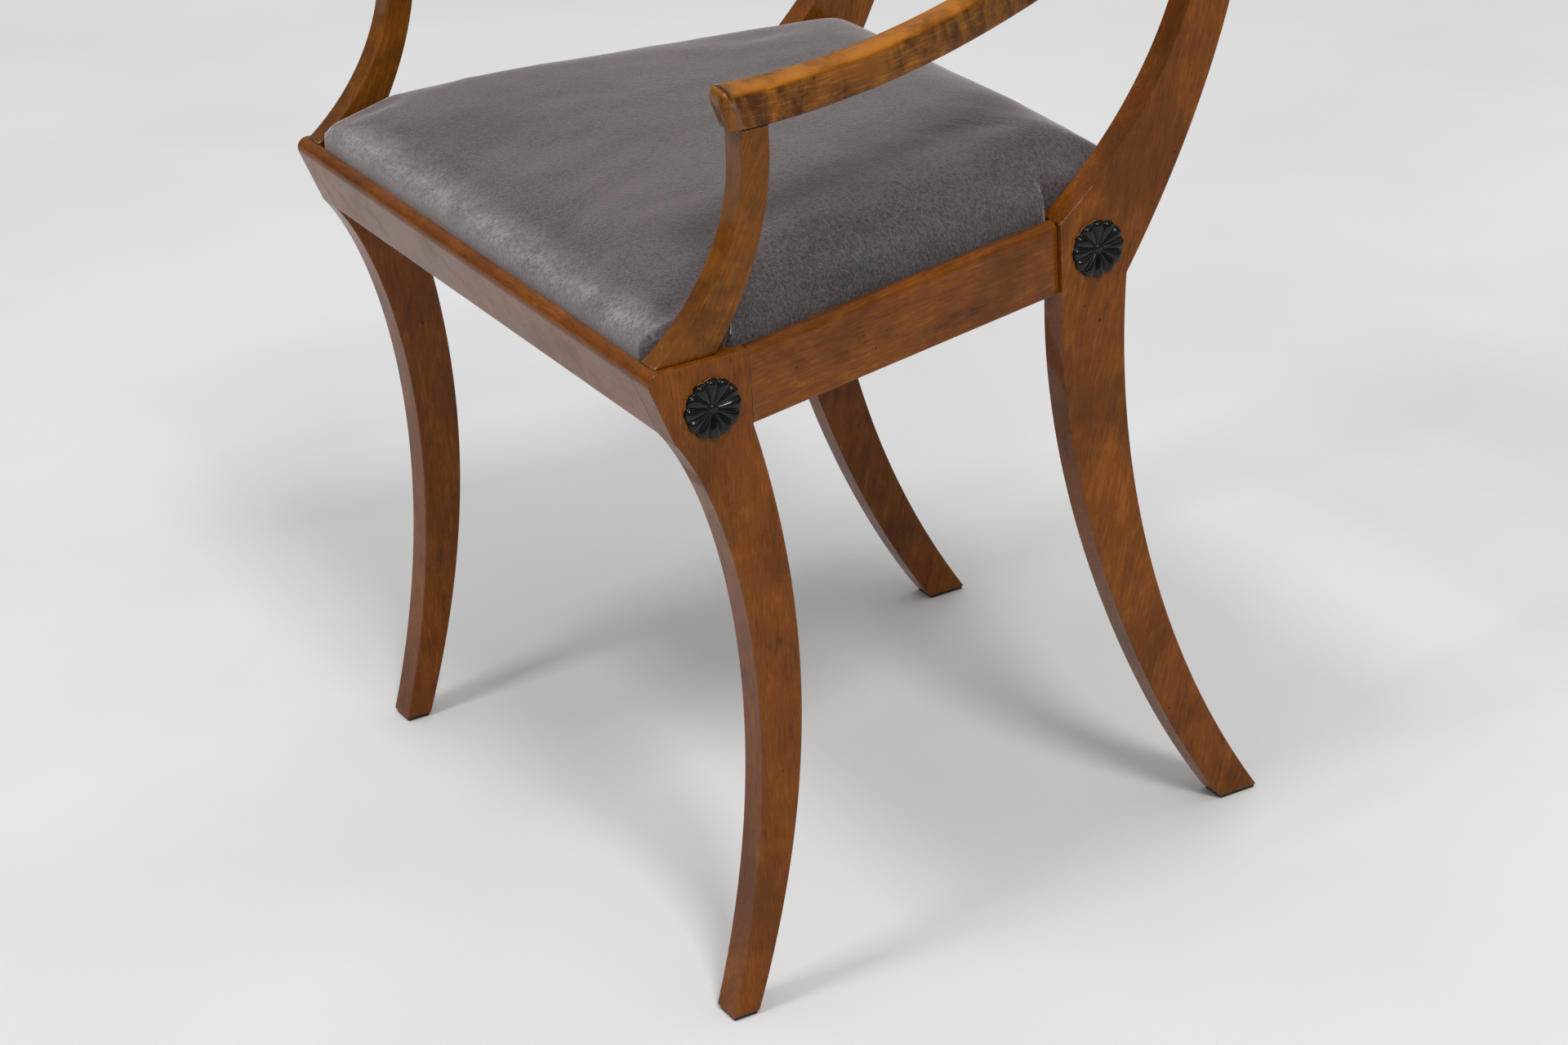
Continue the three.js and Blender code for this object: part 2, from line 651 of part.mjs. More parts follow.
function bowedRail({ half, height, thickness, round, middleY, middleZ, endDrop, grow }) {
  const rings = [];
  for (let i = 0; i <= railSteps; i += 1) {
    const x = half * Math.sin((i / railSteps - 1 / 2) * Math.PI);
    const slant = Math.sqrt(1 - (x / backRadius) ** 2);
    const drop = endDrop * Math.abs(x / half) ** crestEndPower;
    const section = roundedSection(thickness / slant + grow * 2, height * (1 - drop) + grow * 2, round, round);
    rings.push(section.map(([across, up]) => new THREE.Vector3(
      x + Math.sign(i - railSteps / 2) * grow * Number(Math.abs(x) === half),
      middleY - planBow(x) + across + up * backLean,
      middleZ + up,
    )));
  }
  return solid(loft(rings));
}

function crestRail(grow = 0) {
  const middleZ = stileHeight + crestStand - crestHeight / 2;
  const middleY = stileFrontAt(middleZ) + crestLap - crestThickness / 2 + planBow(stileX);
  return bowedRail({
    half: crestHalfLength,
    height: crestHeight,
    thickness: crestThickness,
    round: crestRound,
    middleY,
    middleZ,
    endDrop: crestEndDropShare,
    grow,
  });
}

const crossY = stileFrontAt(crossMiddle) + stileHeadDepth * crossSetShare + planBow(rearInner);
const crossEndY = crossY - planBow(rearInner);
const crossTenon = {
  x: [rearInner - overrun, rearInner + crossTenonLength],
  y: [crossEndY - crossTenonThickness / 2, crossEndY + crossTenonThickness / 2],
  z: [crossMiddle - crossTenonHeight / 2, crossMiddle + crossTenonHeight / 2],
};

function crossRail() {
  const rail = bowedRail({
    half: rearInner - seam,
    height: crossHeight,
    thickness: crossThickness,
    round: crossRound,
    middleY: crossY,
    middleZ: crossMiddle,
    endDrop: 0,
    grow: 0,
  });
  const tenon = toGeometry(slab(crossTenon));
  return rail.add(solid(tenon)).add(solid(mirrored(tenon)));
}

// Rosette: petals with rounded backs round a button, carved from one disc, with a peg behind
function rosette(centre) {
  const around = rosettePetals * petalSteps;
  const ring = (reach, rise, scallop, groove) => Array.from({ length: around }, (_, i) => {
    const angle = i / around * Math.PI * 2;
    const petal = Math.abs(Math.cos(angle * rosettePetals / 2));
    const radius = rosetteRadius * reach * (1 - scallop * (1 - petal));
    const height = seam + rosetteRise * rise * (1 - groove * (1 - petal));
    return new THREE.Vector3(height, radius * Math.cos(angle), radius * Math.sin(angle));
  });
  const groove = 1 - rosetteGrooveShare;
  const rings = [
    ring(rosettePetalShares[0][0], 0, rosetteScallopShare, 0),
    ...rosettePetalShares.map(([reach, rise]) => ring(reach, rise, rosetteScallopShare * reach, groove)),
    ...rosetteButtonShares.map(([reach, rise]) => ring(reach, rise, 0, 0)),
  ];
  const start = new THREE.Vector3(-rosettePegLength, 0, 0);
  const piece = solid(loft(rings)).add(peg(rosettePegRadius, rosettePegLength + seam * 2, start, outward));
  return toGeometry(piece).translate(centre.x, centre.y, centre.z);
}

// Glide: a leather pad a little smaller than the foot, with its nail
function glide(foot, width, depth) {
  const x = width / 2 - glideInset;
  const y = depth / 2 - glideInset;
  const pad = planBoard(polygon([[-x, -y], [x, -y], [x, y], [-x, y]]), 0, glideThickness - seam);
  const start = new THREE.Vector3(0, 0, glideThickness - seam * 2);
  const piece = solid(pad).add(peg(glidePinRadius, glidePinLength, start, upward, 8));
  return toGeometry(piece).translate(foot.x, foot.y, 0);
}

// Corner blocks: triangles glued in the corners of the seat frame, each held by two screws
const blockTop = rebateFloor - blockDrop;
const blockBottom = blockTop - blockHeight;
const lowScrew = blockBottom + blockHeight * screwStepShare;
const highScrew = blockTop - blockHeight * screwStepShare;
const frontCorner = [frontInner - seam, frontRailBack + seam];
const rearCorner = [rearInner - seam, backRailInner - seam];
const frontBlockDepth = frontHeadDepth - frontRailBack - seam * 2;
const rearBlockDepth = backRailInner - rearLegFront - seam * 2;
const forward = new THREE.Vector3(0, -1, 0);
const backward = new THREE.Vector3(0, 1, 0);

// Each screw starts at its head and runs along its direction into the wood
const frontRailScrew = {
  head: new THREE.Vector3(
    frontCorner[0] - blockReach * (1 - screwSetShare) + screwHeadRadius,
    frontRailBack + screwLength - screwBite, lowScrew,
  ),
  direction: forward,
};
const frontSideScrew = {
  head: new THREE.Vector3(
    frontInner - screwLength + screwBite,
    frontCorner[1] + frontBlockDepth * screwSetShare, highScrew,
  ),
  direction: outward,
};
const backRailScrew = {
  head: new THREE.Vector3(
    rearCorner[0] - blockReach * (1 - screwSetShare) + screwHeadRadius,
    backRailInner - screwLength + screwBite, lowScrew,
  ),
  direction: backward,
};

function screwHole({ head, direction }) {
  return peg(screwRadius + fitGap, screwLength + fitGap, head, direction);
}

function screwSeat({ head, direction }) {
  const start = head.clone().addScaledVector(direction, screwHeadHeight - blockReach);
  return peg(screwHeadRadius + fitGap, blockReach + fitGap, start, direction);
}

function screw({ head, direction }) {
  const profile = [
    [0, 0], [screwHeadRadius, 0], [screwHeadRadius, screwHeadHeight / 3], [screwRadius, screwHeadHeight],
    [screwRadius, screwLength - screwHeadRadius], [screwRadius / 2, screwLength - screwRadius / 2],
    [0, screwLength],
  ].map(([radius, height]) => new THREE.Vector2(radius, height));
  const turn = new THREE.Quaternion().setFromUnitVectors(new THREE.Vector3(0, 1, 0), direction);
  const body = new THREE.LatheGeometry(profile, 10).applyQuaternion(turn);
  return toGeometry(solid(body.translate(head.x, head.y, head.z)));
}

function cornerBlock(corner, depth, screws) {
  const outline = polygon([
    corner,
    [corner[0] - blockReach, corner[1]],
    [corner[0] - blockReach, corner[1] + Math.sign(depth) * blockEdge],
    [corner[0] - blockEdge, corner[1] + depth],
    [corner[0], corner[1] + depth],
  ]);
  return screws.reduce(
    (block, place) => block.subtract(screwHole(place)).subtract(screwSeat(place)),
    solid(planBoard(outline, blockBottom, blockHeight)),
  );
}

// Drop-in seat: the cover's outline in plan, notched round the posts and between the stiles
const seatFront = frontLip + seatGap;
const seatBack = backRailTopBack + seatRearOverhang;
const seatPostX = frontInner - seatGap;
const seatPostBack = postSet + postFootDepth + seatPostGap;
const seatStileX = rearInner - seatGap;
const seatStileFront = rearLegFront - seatGap;

function seatSideX(y) {
  return sideRailX(y) - (sideRailLip + seatGap) / Math.cos(sideAngle);
}

function seatCorners(inset, notchFront) {
  return [
    [seatPostX - inset, seatFront + inset, padCornerRadius],
    [seatPostX - inset, notchFront + inset, padNotchRadius],
    [seatSideX(notchFront) - inset, notchFront + inset, padNotchRadius],
    [seatSideX(seatStileFront) - inset, seatStileFront - inset, padNotchRadius],
    [seatStileX - inset, seatStileFront - inset, padNotchRadius / 2],
    [seatStileX - inset, seatBack - inset, padCornerRadius],
  ];
}

// A closed line through corners, each rounded to its radius, with steps along the straights
function roundedLine(corners, straightStep) {
  const line = [];
  corners.forEach(([x, y, radius], i) => {
    const here = new THREE.Vector2(x, y);
    const [bx, by] = corners[(i + corners.length - 1) % corners.length];
    const [nx, ny] = corners[(i + 1) % corners.length];
    const before = new THREE.Vector2(bx, by).sub(here);
    const after = new THREE.Vector2(nx, ny).sub(here);
    const reach = Math.min(radius, before.length() / 3, after.length() / 3);
    const a = here.clone().addScaledVector(before.normalize(), reach);
    const b = here.clone().addScaledVector(after.clone().normalize(), reach);
    line.push(...new THREE.QuadraticBezierCurve(a, here, b).getPoints(4));
    const gap = after.length() - reach * 2;
    const steps = Math.max(1, Math.round(gap / straightStep));
    for (let k = 1; k < steps; k += 1) {
      line.push(b.clone().addScaledVector(after.clone().normalize(), gap * k / steps));
    }
  });
  return line;
}

function seatLine(inset, notchFront, straightStep) {
  const left = seatCorners(inset, notchFront);
  const right = left.map(([x, y, radius]) => [-x, y, radius]).reverse();
  return roundedLine([...left, ...right], straightStep);
}

const barTop = rebateFloor + seam + seatBarHeight;
const frameInset = coverThickness + seam;
const seatNotchFront = frontHeadDepth + seatGap; // bars and hem stay behind the leg's head
const seatMiddleY = (seatFront + seatBack) / 2;
const padStep = seatBarWidth;

// Pad: hem and skirt round the bars, a rolled edge, and a crown that rises to the middle of the seat
function calmPoint(p) {
  const y = p.y - seatMiddleY;
  const share = (p.y - seatFront) / (seatBack - seatFront);
  const across = p.x / THREE.MathUtils.lerp(seatPostX, seatStileX, share);
  const along = y / (seatBack - seatMiddleY);
  const reach = (Math.abs(across) ** padSquareness + Math.abs(along) ** padSquareness) ** (1 / padSquareness);
  return [p.x / reach, y / reach];
}

function seatPad() {
  const line = seatLine(0, seatPostBack, padStep);
  const level = (t, z) => line.map((p) => {
    const calm = THREE.MathUtils.smoothstep(1 - t, 0, 1 - padCalmShare);
    const [x, y] = calmPoint(p);
    return new THREE.Vector3(
      THREE.MathUtils.lerp(p.x, x, calm) * t,
      seatMiddleY + THREE.MathUtils.lerp(p.y - seatMiddleY, y, calm) * t,
      z,
    );
  });
  const edge = frameHeight + padEdgeHeight;
  const rings = [level(1, rebateFloor + padSkirtRise)];
  padShoulderShares.forEach(([inset, rise]) => rings.push(level(1 - inset, frameHeight + padEdgeHeight * rise)));
  padCrownShares.forEach((t) => rings.push(level(t, edge + padCrown * (1 - t ** padCrownPower))));
  let pad = solid(loft(rings));
  const frame = planBoard(new THREE.Shape(seatLine(coverThickness, seatNotchFront, padStep)), 0, barTop + seam);
  pad = pad.subtract(solid(frame));
  const hollow = new THREE.Shape(seatLine(seatBarWidth * webMarginShare, seatNotchFront, padStep));
  pad = pad.subtract(solid(planBoard(hollow, 0, canvasTop + seam)));
  const hem = slab({
    x: [seatPostX, frontWidth],
    y: [0, seatNotchFront],
    z: [0, frameHeight + fitGap * 2],
  });
  const lean = sideBoard(polygon([
    [0, frameHeight - overrun],
    [seatPostBack - overrun * padLean, frameHeight - overrun],
    [seatPostBack + postHeight * padLean, armUnderside],
    [0, armUnderside],
  ]), seatPostX, frontWidth, 0);
  [toGeometry(hem), lean].forEach((cut) => {
    pad = pad.subtract(solid(cut)).subtract(solid(mirrored(cut)));
  });
  return pad;
}

// Seat bars: front and rear bars run across, side bars are tenoned between them
const frontBarBack = seatFront + frameInset + seatBarWidth;
const rearBarFront = seatBack - frameInset - seatBarWidth;
const barMiddle = rebateFloor + seam + seatBarHeight / 2;

function seatSideBarInnerX(y) {
  const share = (y - frontBarBack) / (rearBarFront - frontBarBack);
  return THREE.MathUtils.lerp(seatPostX, seatStileX, share) - frameInset - seatBarWidth;
}

function seatTenon(y0, y1) {
  const x = (seatSideBarInnerX((y0 + y1) / 2) + seatBarWidth / 2);
  return {
    x: [x - seatTenonWidth / 2, x + seatTenonWidth / 2],
    y: [y0, y1],
    z: [barMiddle - seatTenonThickness / 2, barMiddle + seatTenonThickness / 2],
  };
}

const seatFrontTenon = seatTenon(frontBarBack - seatTenonLength, frontBarBack + overrun);
const seatRearTenon = seatTenon(rearBarFront - overrun, rearBarFront + seatTenonLength);

// The seat frame's plan, rounded at the corners, that all four bars are cut from
function seatFrameBlank() {
  return solid(planBoard(new THREE.Shape(seatLine(frameInset, seatNotchFront, padStep)), rebateFloor + seam, seatBarHeight));
}

function crossBar(y, tenon) {
  const mortise = toGeometry(slab(tenon, fitGap));
  return seatFrameBlank()
    .intersect(slab({ x: [-frontWidth, frontWidth], y, z: [rebateFloor, barTop + overrun] }))
    .subtract(solid(mortise))
    .subtract(solid(mirrored(mortise)));
}

function seatSideBar() {
  const front = frontBarBack + seam;
  const back = rearBarFront - seam;
  const outline = polygon([
    [seatSideBarInnerX(front), front],
    [frontWidth, front],
    [frontWidth, back],
    [seatSideBarInnerX(back), back],
  ]);
  return solid(planBoard(outline, rebateFloor, railDepth))
    .intersect(seatFrameBlank())
    .add(slab(seatFrontTenon))
    .add(slab(seatRearTenon));
}

// Webbing in two layers, canvas over it, and the dust cover under the bars
const lowWeb = barTop + seam;
const highWeb = lowWeb + webThickness + seam;
const canvasBottom = highWeb + webThickness + seam;
const canvasTop = canvasBottom + canvasThickness;
const webLand = seatBarWidth * webLandShare;

function webAcross(share) {
  const y = seatMiddleY + share * (rearBarFront - frontBarBack);
  const half = seatSideBarInnerX(y + webWidth / 2) + webLand;
  return slab({ x: [-half, half], y: [y - webWidth / 2, y + webWidth / 2], z: [lowWeb, lowWeb + webThickness] });
}

function webAlong(share) {
  const x = share * seatSideBarInnerX(rearBarFront) * 2;
  return slab({
    x: [x - webWidth / 2, x + webWidth / 2],
    y: [frontBarBack - webLand, rearBarFront + webLand],
    z: [highWeb, highWeb + webThickness],
  });
}

function seatSheet(front, back, land, bottom, thickness) {
  const outline = polygon([
    [-seatSideBarInnerX(front) - land, front],
    [seatSideBarInnerX(front) + land, front],
    [seatSideBarInnerX(back) + land, back],
    [-seatSideBarInnerX(back) - land, back],
  ]);
  return solid(planBoard(outline, bottom, thickness));
}

function seatCanvas() {
  return seatSheet(frontBarBack - webLand, rearBarFront + webLand, webLand, canvasBottom, canvasThickness);
}

function dustCover() {
  const bottom = rebateFloor - dustCoverThickness;
  return seatSheet(
    frontRailBack + dustCoverLand, backRailInner - dustCoverLand, dustCoverLand, bottom, dustCoverThickness,
  );
}

// Assembly
const chair = new THREE.Group();
const frame = new THREE.Group();
const seat = new THREE.Group();
chair.add(frame, seat);

function place(group, name, piece, material) {
  const geometry = piece.isBufferGeometry ? piece : toGeometry(piece);
  geometry.computeVertexNormals();
  const mesh = new THREE.Mesh(geometry, material);
  mesh.name = name;
  group.add(mesh);
}

function placePair(group, name, piece, material) {
  const left = piece.isBufferGeometry ? piece : toGeometry(piece);
  place(group, `${name}_left`, left, material);
  place(group, `${name}_right`, mirrored(left), material);
}

placePair(frame, 'front_leg', frontLeg(), birch);
placePair(frame, 'rear_leg', rearLeg(solid(toGeometry(crestRail(seam)))), birch);
place(frame, 'front_rail', frontRail(), birch);
place(frame, 'back_rail', backRail(), birch);
placePair(frame, 'side_rail', sideRail(), birch);
placePair(frame, 'arm_post', armPost(), birch);
placePair(frame, 'arm', arm(), figuredBirch);
place(frame, 'crest_rail', crestRail(), figuredBirch);
place(frame, 'cross_rail', crossRail(), birch);
placePair(frame, 'front_rosette', rosette(frontRosette), ebonised);
placePair(frame, 'rear_rosette', rosette(rearRosette), ebonised);
placePair(frame, 'front_glide', glide(frontFootMiddle, frontLegThickness, frontFootDepth), leather);
placePair(frame, 'rear_glide', glide(rearFootMiddle, rearLegThickness, rearFootDepth), leather);
placePair(frame, 'front_corner_block', cornerBlock(frontCorner, frontBlockDepth, [frontRailScrew, frontSideScrew]), softwood);
placePair(frame, 'rear_corner_block', cornerBlock(rearCorner, -rearBlockDepth, [backRailScrew]), softwood);
placePair(frame, 'front_rail_screw', screw(frontRailScrew), steel);
placePair(frame, 'front_leg_screw', screw(frontSideScrew), steel);
placePair(frame, 'back_rail_screw', screw(backRailScrew), steel);

place(seat, 'seat_front_bar', crossBar([0, frontBarBack], seatFrontTenon), softwood);
place(seat, 'seat_rear_bar', crossBar([rearBarFront, seatBack], seatRearTenon), softwood);
placePair(seat, 'seat_side_bar', seatSideBar(), softwood);
const lanes = ['left', 'middle', 'right'];
webLaneShares.forEach((share, i) => place(seat, `webbing_across_${i + 1}`, webAcross(share), jute));
webLaneShares.forEach((share, i) => place(seat, `webbing_${lanes[2 - i]}`, webAlong(share), jute));
place(seat, 'seat_canvas', seatCanvas(), canvas);
place(seat, 'seat_pad', seatPad(), velvet);
place(seat, 'dust_cover', dustCover(), blackCloth);

// The origin is on the floor, in the middle of the chair's plan
const extent = new THREE.Box3().setFromObject(chair);
chair.position.y = -(extent.min.y + extent.max.y) / 2;

export default chair;
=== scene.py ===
"""Dresses a klismos armchair: stained birch frame, ebonised rosettes and a velvet drop-in seat.

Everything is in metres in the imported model's own frame: +Z up, the chair faces -Y, the sitter's left is +X.
"""

import json
import logging
import math
from dataclasses import dataclass, field
from enum import Enum
from typing import Callable, Iterable, Sequence

import bmesh
import bpy
from mathutils import Matrix, Vector, kdtree, noise

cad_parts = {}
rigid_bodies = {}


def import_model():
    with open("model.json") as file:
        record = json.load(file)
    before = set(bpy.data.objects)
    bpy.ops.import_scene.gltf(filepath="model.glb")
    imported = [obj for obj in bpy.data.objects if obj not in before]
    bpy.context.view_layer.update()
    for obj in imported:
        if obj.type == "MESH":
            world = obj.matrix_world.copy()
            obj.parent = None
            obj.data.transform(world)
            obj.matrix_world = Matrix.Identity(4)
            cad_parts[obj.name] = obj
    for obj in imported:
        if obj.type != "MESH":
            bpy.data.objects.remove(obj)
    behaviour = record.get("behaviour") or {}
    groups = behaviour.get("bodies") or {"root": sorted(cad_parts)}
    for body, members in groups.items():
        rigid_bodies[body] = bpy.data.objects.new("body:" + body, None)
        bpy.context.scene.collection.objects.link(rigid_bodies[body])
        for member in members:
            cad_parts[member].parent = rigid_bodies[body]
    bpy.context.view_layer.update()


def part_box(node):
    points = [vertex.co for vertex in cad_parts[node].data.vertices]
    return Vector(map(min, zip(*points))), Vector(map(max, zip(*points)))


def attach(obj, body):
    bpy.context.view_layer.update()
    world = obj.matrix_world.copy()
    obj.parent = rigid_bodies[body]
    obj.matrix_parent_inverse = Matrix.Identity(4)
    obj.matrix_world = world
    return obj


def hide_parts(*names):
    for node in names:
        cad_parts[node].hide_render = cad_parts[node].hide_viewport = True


LOG = logging.getLogger("klismos")
MM = 0.001  # a millimetre in the file's unit

Point2 = tuple[float, float]
Rings = list[list[Vector]]


class Side(Enum):
    """Side of the chair as the sitter has it."""

    LEFT = 1
    RIGHT = -1

    @property
    def word(self) -> str:
        """The ending of a piece's name on this side."""
        return "left" if self is Side.LEFT else "right"


class Grain(Enum):
    """Direction in which a board's fibres run, with the direction across its face."""

    UPRIGHT = (Vector((0, 0, 1)), Vector((0, 1, 0)))
    LEANING = (Vector((0, 0.26, 0.966)), Vector((0, 0.966, -0.26)))
    RAKED = (Vector((0, 0.42, 0.9)), Vector((0, 0.9, -0.42)))
    SIDEWAYS = (Vector((1, 0, 0)), Vector((0, 0, 1)))


# Sizes shared by the sub-assemblies


@dataclass(frozen=True)
class FrameSizes:
    """Sizes of the chair's frame that more than one sub-assembly is built to."""

    front: float = -271.044 * MM
    top: float = 447 * MM
    bottom: float = 400 * MM
    front_outer: float = 253 * MM
    front_inner: float = 231 * MM
    rear_outer: float = 198 * MM
    rear_inner: float = 177 * MM
    head_depth: float = 70 * MM
    rear_leg_front: float = 322.5 * MM
    rear_head_depth: float = 49 * MM
    bend_rise: float = 3 * MM
    glide: float = 2.5 * MM
    cant_run: float = 17.5 * MM
    nose_radius: float = 7 * MM
    stile_height: float = 850 * MM
    stile_reach: float = 163 * MM
    stile_head: float = 24 * MM
    rebate: float = 12 * MM
    seam: float = 0.45 * MM

    def at(self, depth: float, height: float) -> Point2:
        """A side view point from its depth behind the chair's front and its height."""
        return (self.front + depth, height)

    def shares(
        self, depth: float, height: float, run: float, rise: float
    ) -> Callable[[float, float], Point2]:
        """Makes a function that gives side view points as shares of a board's run and rise.

        Args:
            depth: Depth that a share of 0 stands for.
            height: Height that a share of 0 stands for.
            run: Depth that a share of 1 adds.
            rise: Height that a share of 1 adds.

        Returns:
            The function of two shares, front to back and up.
        """

        def point(back: float, up: float) -> Point2:
            """The side view point at two shares."""
            return self.at(depth + back * run, height + up * rise)

        return point


# Outlines and curves


def cubic(a: Point2, b: Point2, c: Point2, d: Point2, steps: int) -> list[Point2]:
    """Points along a cubic curve, without its first point.

    Args:
        a: Start.
        b: First pull.
        c: Second pull.
        d: End.
        steps: Number of points returned.

    Returns:
        The points from just after the start up to the end.
    """
    points = []
    for i in range(1, steps + 1):
        t = i / steps
        u = 1 - t
        w = (u * u * u, 3 * u * u * t, 3 * u * t * t, t * t * t)
        points.append(tuple(sum(k * p[axis] for k, p in zip(w, (a, b, c, d))) for axis in (0, 1)))
    return points


@dataclass
class Outline:
    """A closed outline in the side view, as depth and height, drawn point by point."""

    points: list[Point2] = field(default_factory=list)

    def line(self, *points: Point2) -> "Outline":
        """Adds straight edges through the points."""
        self.points.extend(points)
        return self

    def curve(self, b: Point2, c: Point2, d: Point2, steps: int = 36) -> "Outline":
        """Adds a cubic curve from the last point through two pulls."""
        self.points.extend(cubic(self.points[-1], b, c, d, steps))
        return self

    def arc(self, centre: Point2, radius: float, start: float, end: float, steps: int = 8) -> "Outline":
        """Adds an arc of a circle.

        Args:
            centre: Centre of the circle.
            radius: Its radius.
            start: Angle of the arc's first point, in radians.
            end: Angle of its last point.
            steps: Number of edges along it.

        Returns:
            The outline.
        """
        for i in range(steps + 1):
            angle = start + (end - start) * i / steps
            self.points.append((centre[0] + radius * math.cos(angle), centre[1] + radius * math.sin(angle)))
        return self


def nose(outline: Outline, sizes: FrameSizes) -> Outline:
    """Draws the canted, rounded front that the front rail shares with the front legs' heads.

    Args:
        outline: Outline that has reached the top face and goes on towards the front.
        sizes: Sizes of the frame.

    Returns:
        The outline, ended at the front face's lower edge.
    """
    cant = math.atan2(sizes.cant_run, sizes.top - sizes.bottom)
    reach = sizes.nose_radius * (math.tan(cant) + 1 / math.cos(cant))
    centre = sizes.at(reach, sizes.top - sizes.nose_radius)
    outline.arc(centre, sizes.nose_radius, math.pi / 2, math.pi + cant, 10)
    return outline.line(sizes.at(sizes.cant_run, sizes.bottom))


# Mesh making

SHARP = math.radians(28)  # least angle between the faces of an edge that is rounded
SEAM_SHARE = 0.22  # share of the arris that an edge in a joint gets
BOARD_STEPS = ((1.37, 7), (2.71, 5), (3.93, 11))  # how far apart the boards lie in the log, and where it ends


def finish_mesh(name: str, mesh: bpy.types.Mesh, side: Side = Side.LEFT) -> bpy.types.Object:
    """Makes an object of a mesh that was drawn for the left side.

    Args:
        name: Name of the piece.
        mesh: Its mesh.
        side: Side of the chair, which mirrors the mesh if it is the right.

    Returns:
        The linked object, shaded smooth.
    """
    if side is Side.RIGHT:
        mesh.transform(Matrix.Scale(-1, 4, (1, 0, 0)))
        mesh.flip_normals()
    mesh.shade_smooth()
    made = bpy.data.objects.new(name, mesh)
    bpy.context.scene.collection.objects.link(made)
    return made


def piece_from(name: str, bm: bmesh.types.BMesh, side: Side = Side.LEFT) -> bpy.types.Object:
    """Turns a closed skin into a piece, with its faces turned outward.

    Args:
        name: Name of the piece.
        bm: The skin, drawn for the left side. It is freed.
        side: Side of the chair.

    Returns:
        The piece.
    """
    bmesh.ops.recalc_face_normals(bm, faces=bm.faces)
    mesh = bpy.data.meshes.new(name)
    bm.to_mesh(mesh)
    bm.free()
    return finish_mesh(name, mesh, side)


def loft(name: str, rings: Rings, side: Side = Side.LEFT) -> bpy.types.Object:
    """Joins rings of points into one skin that a fan closes at each end.

    Args:
        name: Name of the piece.
        rings: Rings with the same number of points, in order along the piece.
        side: Side of the chair.

    Returns:
        The object.
    """
    count = len(rings[0])
    bm = bmesh.new()
    rows = [[bm.verts.new(p) for p in ring] for ring in rings]
    for low, high in zip(rows, rows[1:]):
        for i in range(count):
            k = (i + 1) % count
            bm.faces.new((low[i], low[k], high[k], high[i]))
    for row in (rows[0], rows[-1]):
        hub = bm.verts.new(sum((v.co for v in row), Vector()) / count)
        for i in range(count):
            bm.faces.new((row[i], row[(i + 1) % count], hub))
    return piece_from(name, bm, side)


def soften_edges(
    made: bpy.types.Object,
    arris: float,
    seams: Callable[[Vector], bool] | None = None,
    segments: int = 3,
) -> None:
    """Rounds a board's sharp edges, and rounds them less where it meets its neighbour.

    Args:
        made: The board, with its faces flat and its edges sharp.
        arris: Width of the rounded edges.
        seams: Says of a point whether it lies in a joint between two boards.
        segments: Steps in each rounded edge.
    """
    bm = bmesh.new()
    bm.from_mesh(made.data)
    weight = bm.edges.layers.float.new("bevel_weight_edge")
    for edge in bm.edges:
        if len(edge.link_faces) == 2 and edge.calc_face_angle() > SHARP:
            tight = seams is not None and all(seams(v.co) for v in edge.verts)
            edge[weight] = SEAM_SHARE if tight else 1
    bm.to_mesh(made.data)
    bm.free()
    bevel = made.modifiers.new("soft_edges", "BEVEL")
    bevel.width = arris
    bevel.segments = segments
    bevel.limit_method = "WEIGHT"
    bevel.harden_normals = False
    weighted = made.modifiers.new("flat_faces", "WEIGHTED_NORMAL")
    weighted.keep_sharp = False


def board(
    name: str, outline: Sequence[Point2], inner: float, outer: float, side: Side = Side.LEFT
) -> bpy.types.Object:
    """Cuts a board to an outline in the side view.

    Args:
        name: Name of the piece.
        outline: Depth and height of each corner and curve point.
        inner: Inner face, measured out from the chair's middle.
        outer: Outer face.
        side: Side of the chair.

    Returns:
        The board with flat faces and sharp edges.
    """
    bm = bmesh.new()
    near = [bm.verts.new((outer, y, z)) for y, z in outline]
    far = [bm.verts.new((inner, y, z)) for y, z in outline]
    bm.faces.new(near)
    bm.faces.new(list(reversed(far)))
    for i in range(len(outline)):
        k = (i + 1) % len(outline)
        bm.faces.new((near[i], far[i], far[k], near[k]))
    return piece_from(name, bm, side)


def rounded_section(width: float, height: float, top: float, under: float, steps: int = 6) -> list[Point2]:
    """Draws a rectangle with rounded corners.

    Args:
        width: Its width.
        height: Its height.
        top: Radius of its upper corners.
        under: Radius of its lower corners.
        steps: Number of edges in each corner.

    Returns:
        Its points as across and up, running from across towards up.
    """
    corners = (
        (width / 2 - top, height / 2 - top, top),
        (top - width / 2, height / 2 - top, top),
        (under - width / 2, under - height / 2, under),
        (width / 2 - under, under - height / 2, under),
    )
    points = []
    for quarter, (across, up, radius) in enumerate(corners):
        for i in range(steps + 1):
            angle = (quarter + i / steps) * math.pi / 2
            points.append((across + radius * math.cos(angle), up + radius * math.sin(angle)))
    return points


def lay_grain(made: bpy.types.Object, along: Vector, across: Vector, seed: int) -> None:
    """Stores each point's place in the board it was cut from, so that every board has its own figure.

    Args:
        made: The piece.
        along: Direction of the fibres.
        across: Direction across the board's face.
        seed: Number that picks the board.
    """
    along = along.normalized()
    across = (across - across.project(along)).normalized()
    through = along.cross(across)
    shift = Vector([seed * step % end for step, end in BOARD_STEPS])
    axes = (across, through, along)
    values = [Vector([v.co.dot(axis) for axis in axes]) + shift for v in made.data.vertices]
    store_vector(made, "grain", values)


def store_vector(made: bpy.types.Object, name: str, values: Iterable[Vector]) -> None:
    """Writes one vector for each of a mesh's points."""
    layer = made.data.attributes.new(name, "FLOAT_VECTOR", "POINT")
    layer.data.foreach_set("vector", [c for value in values for c in value])


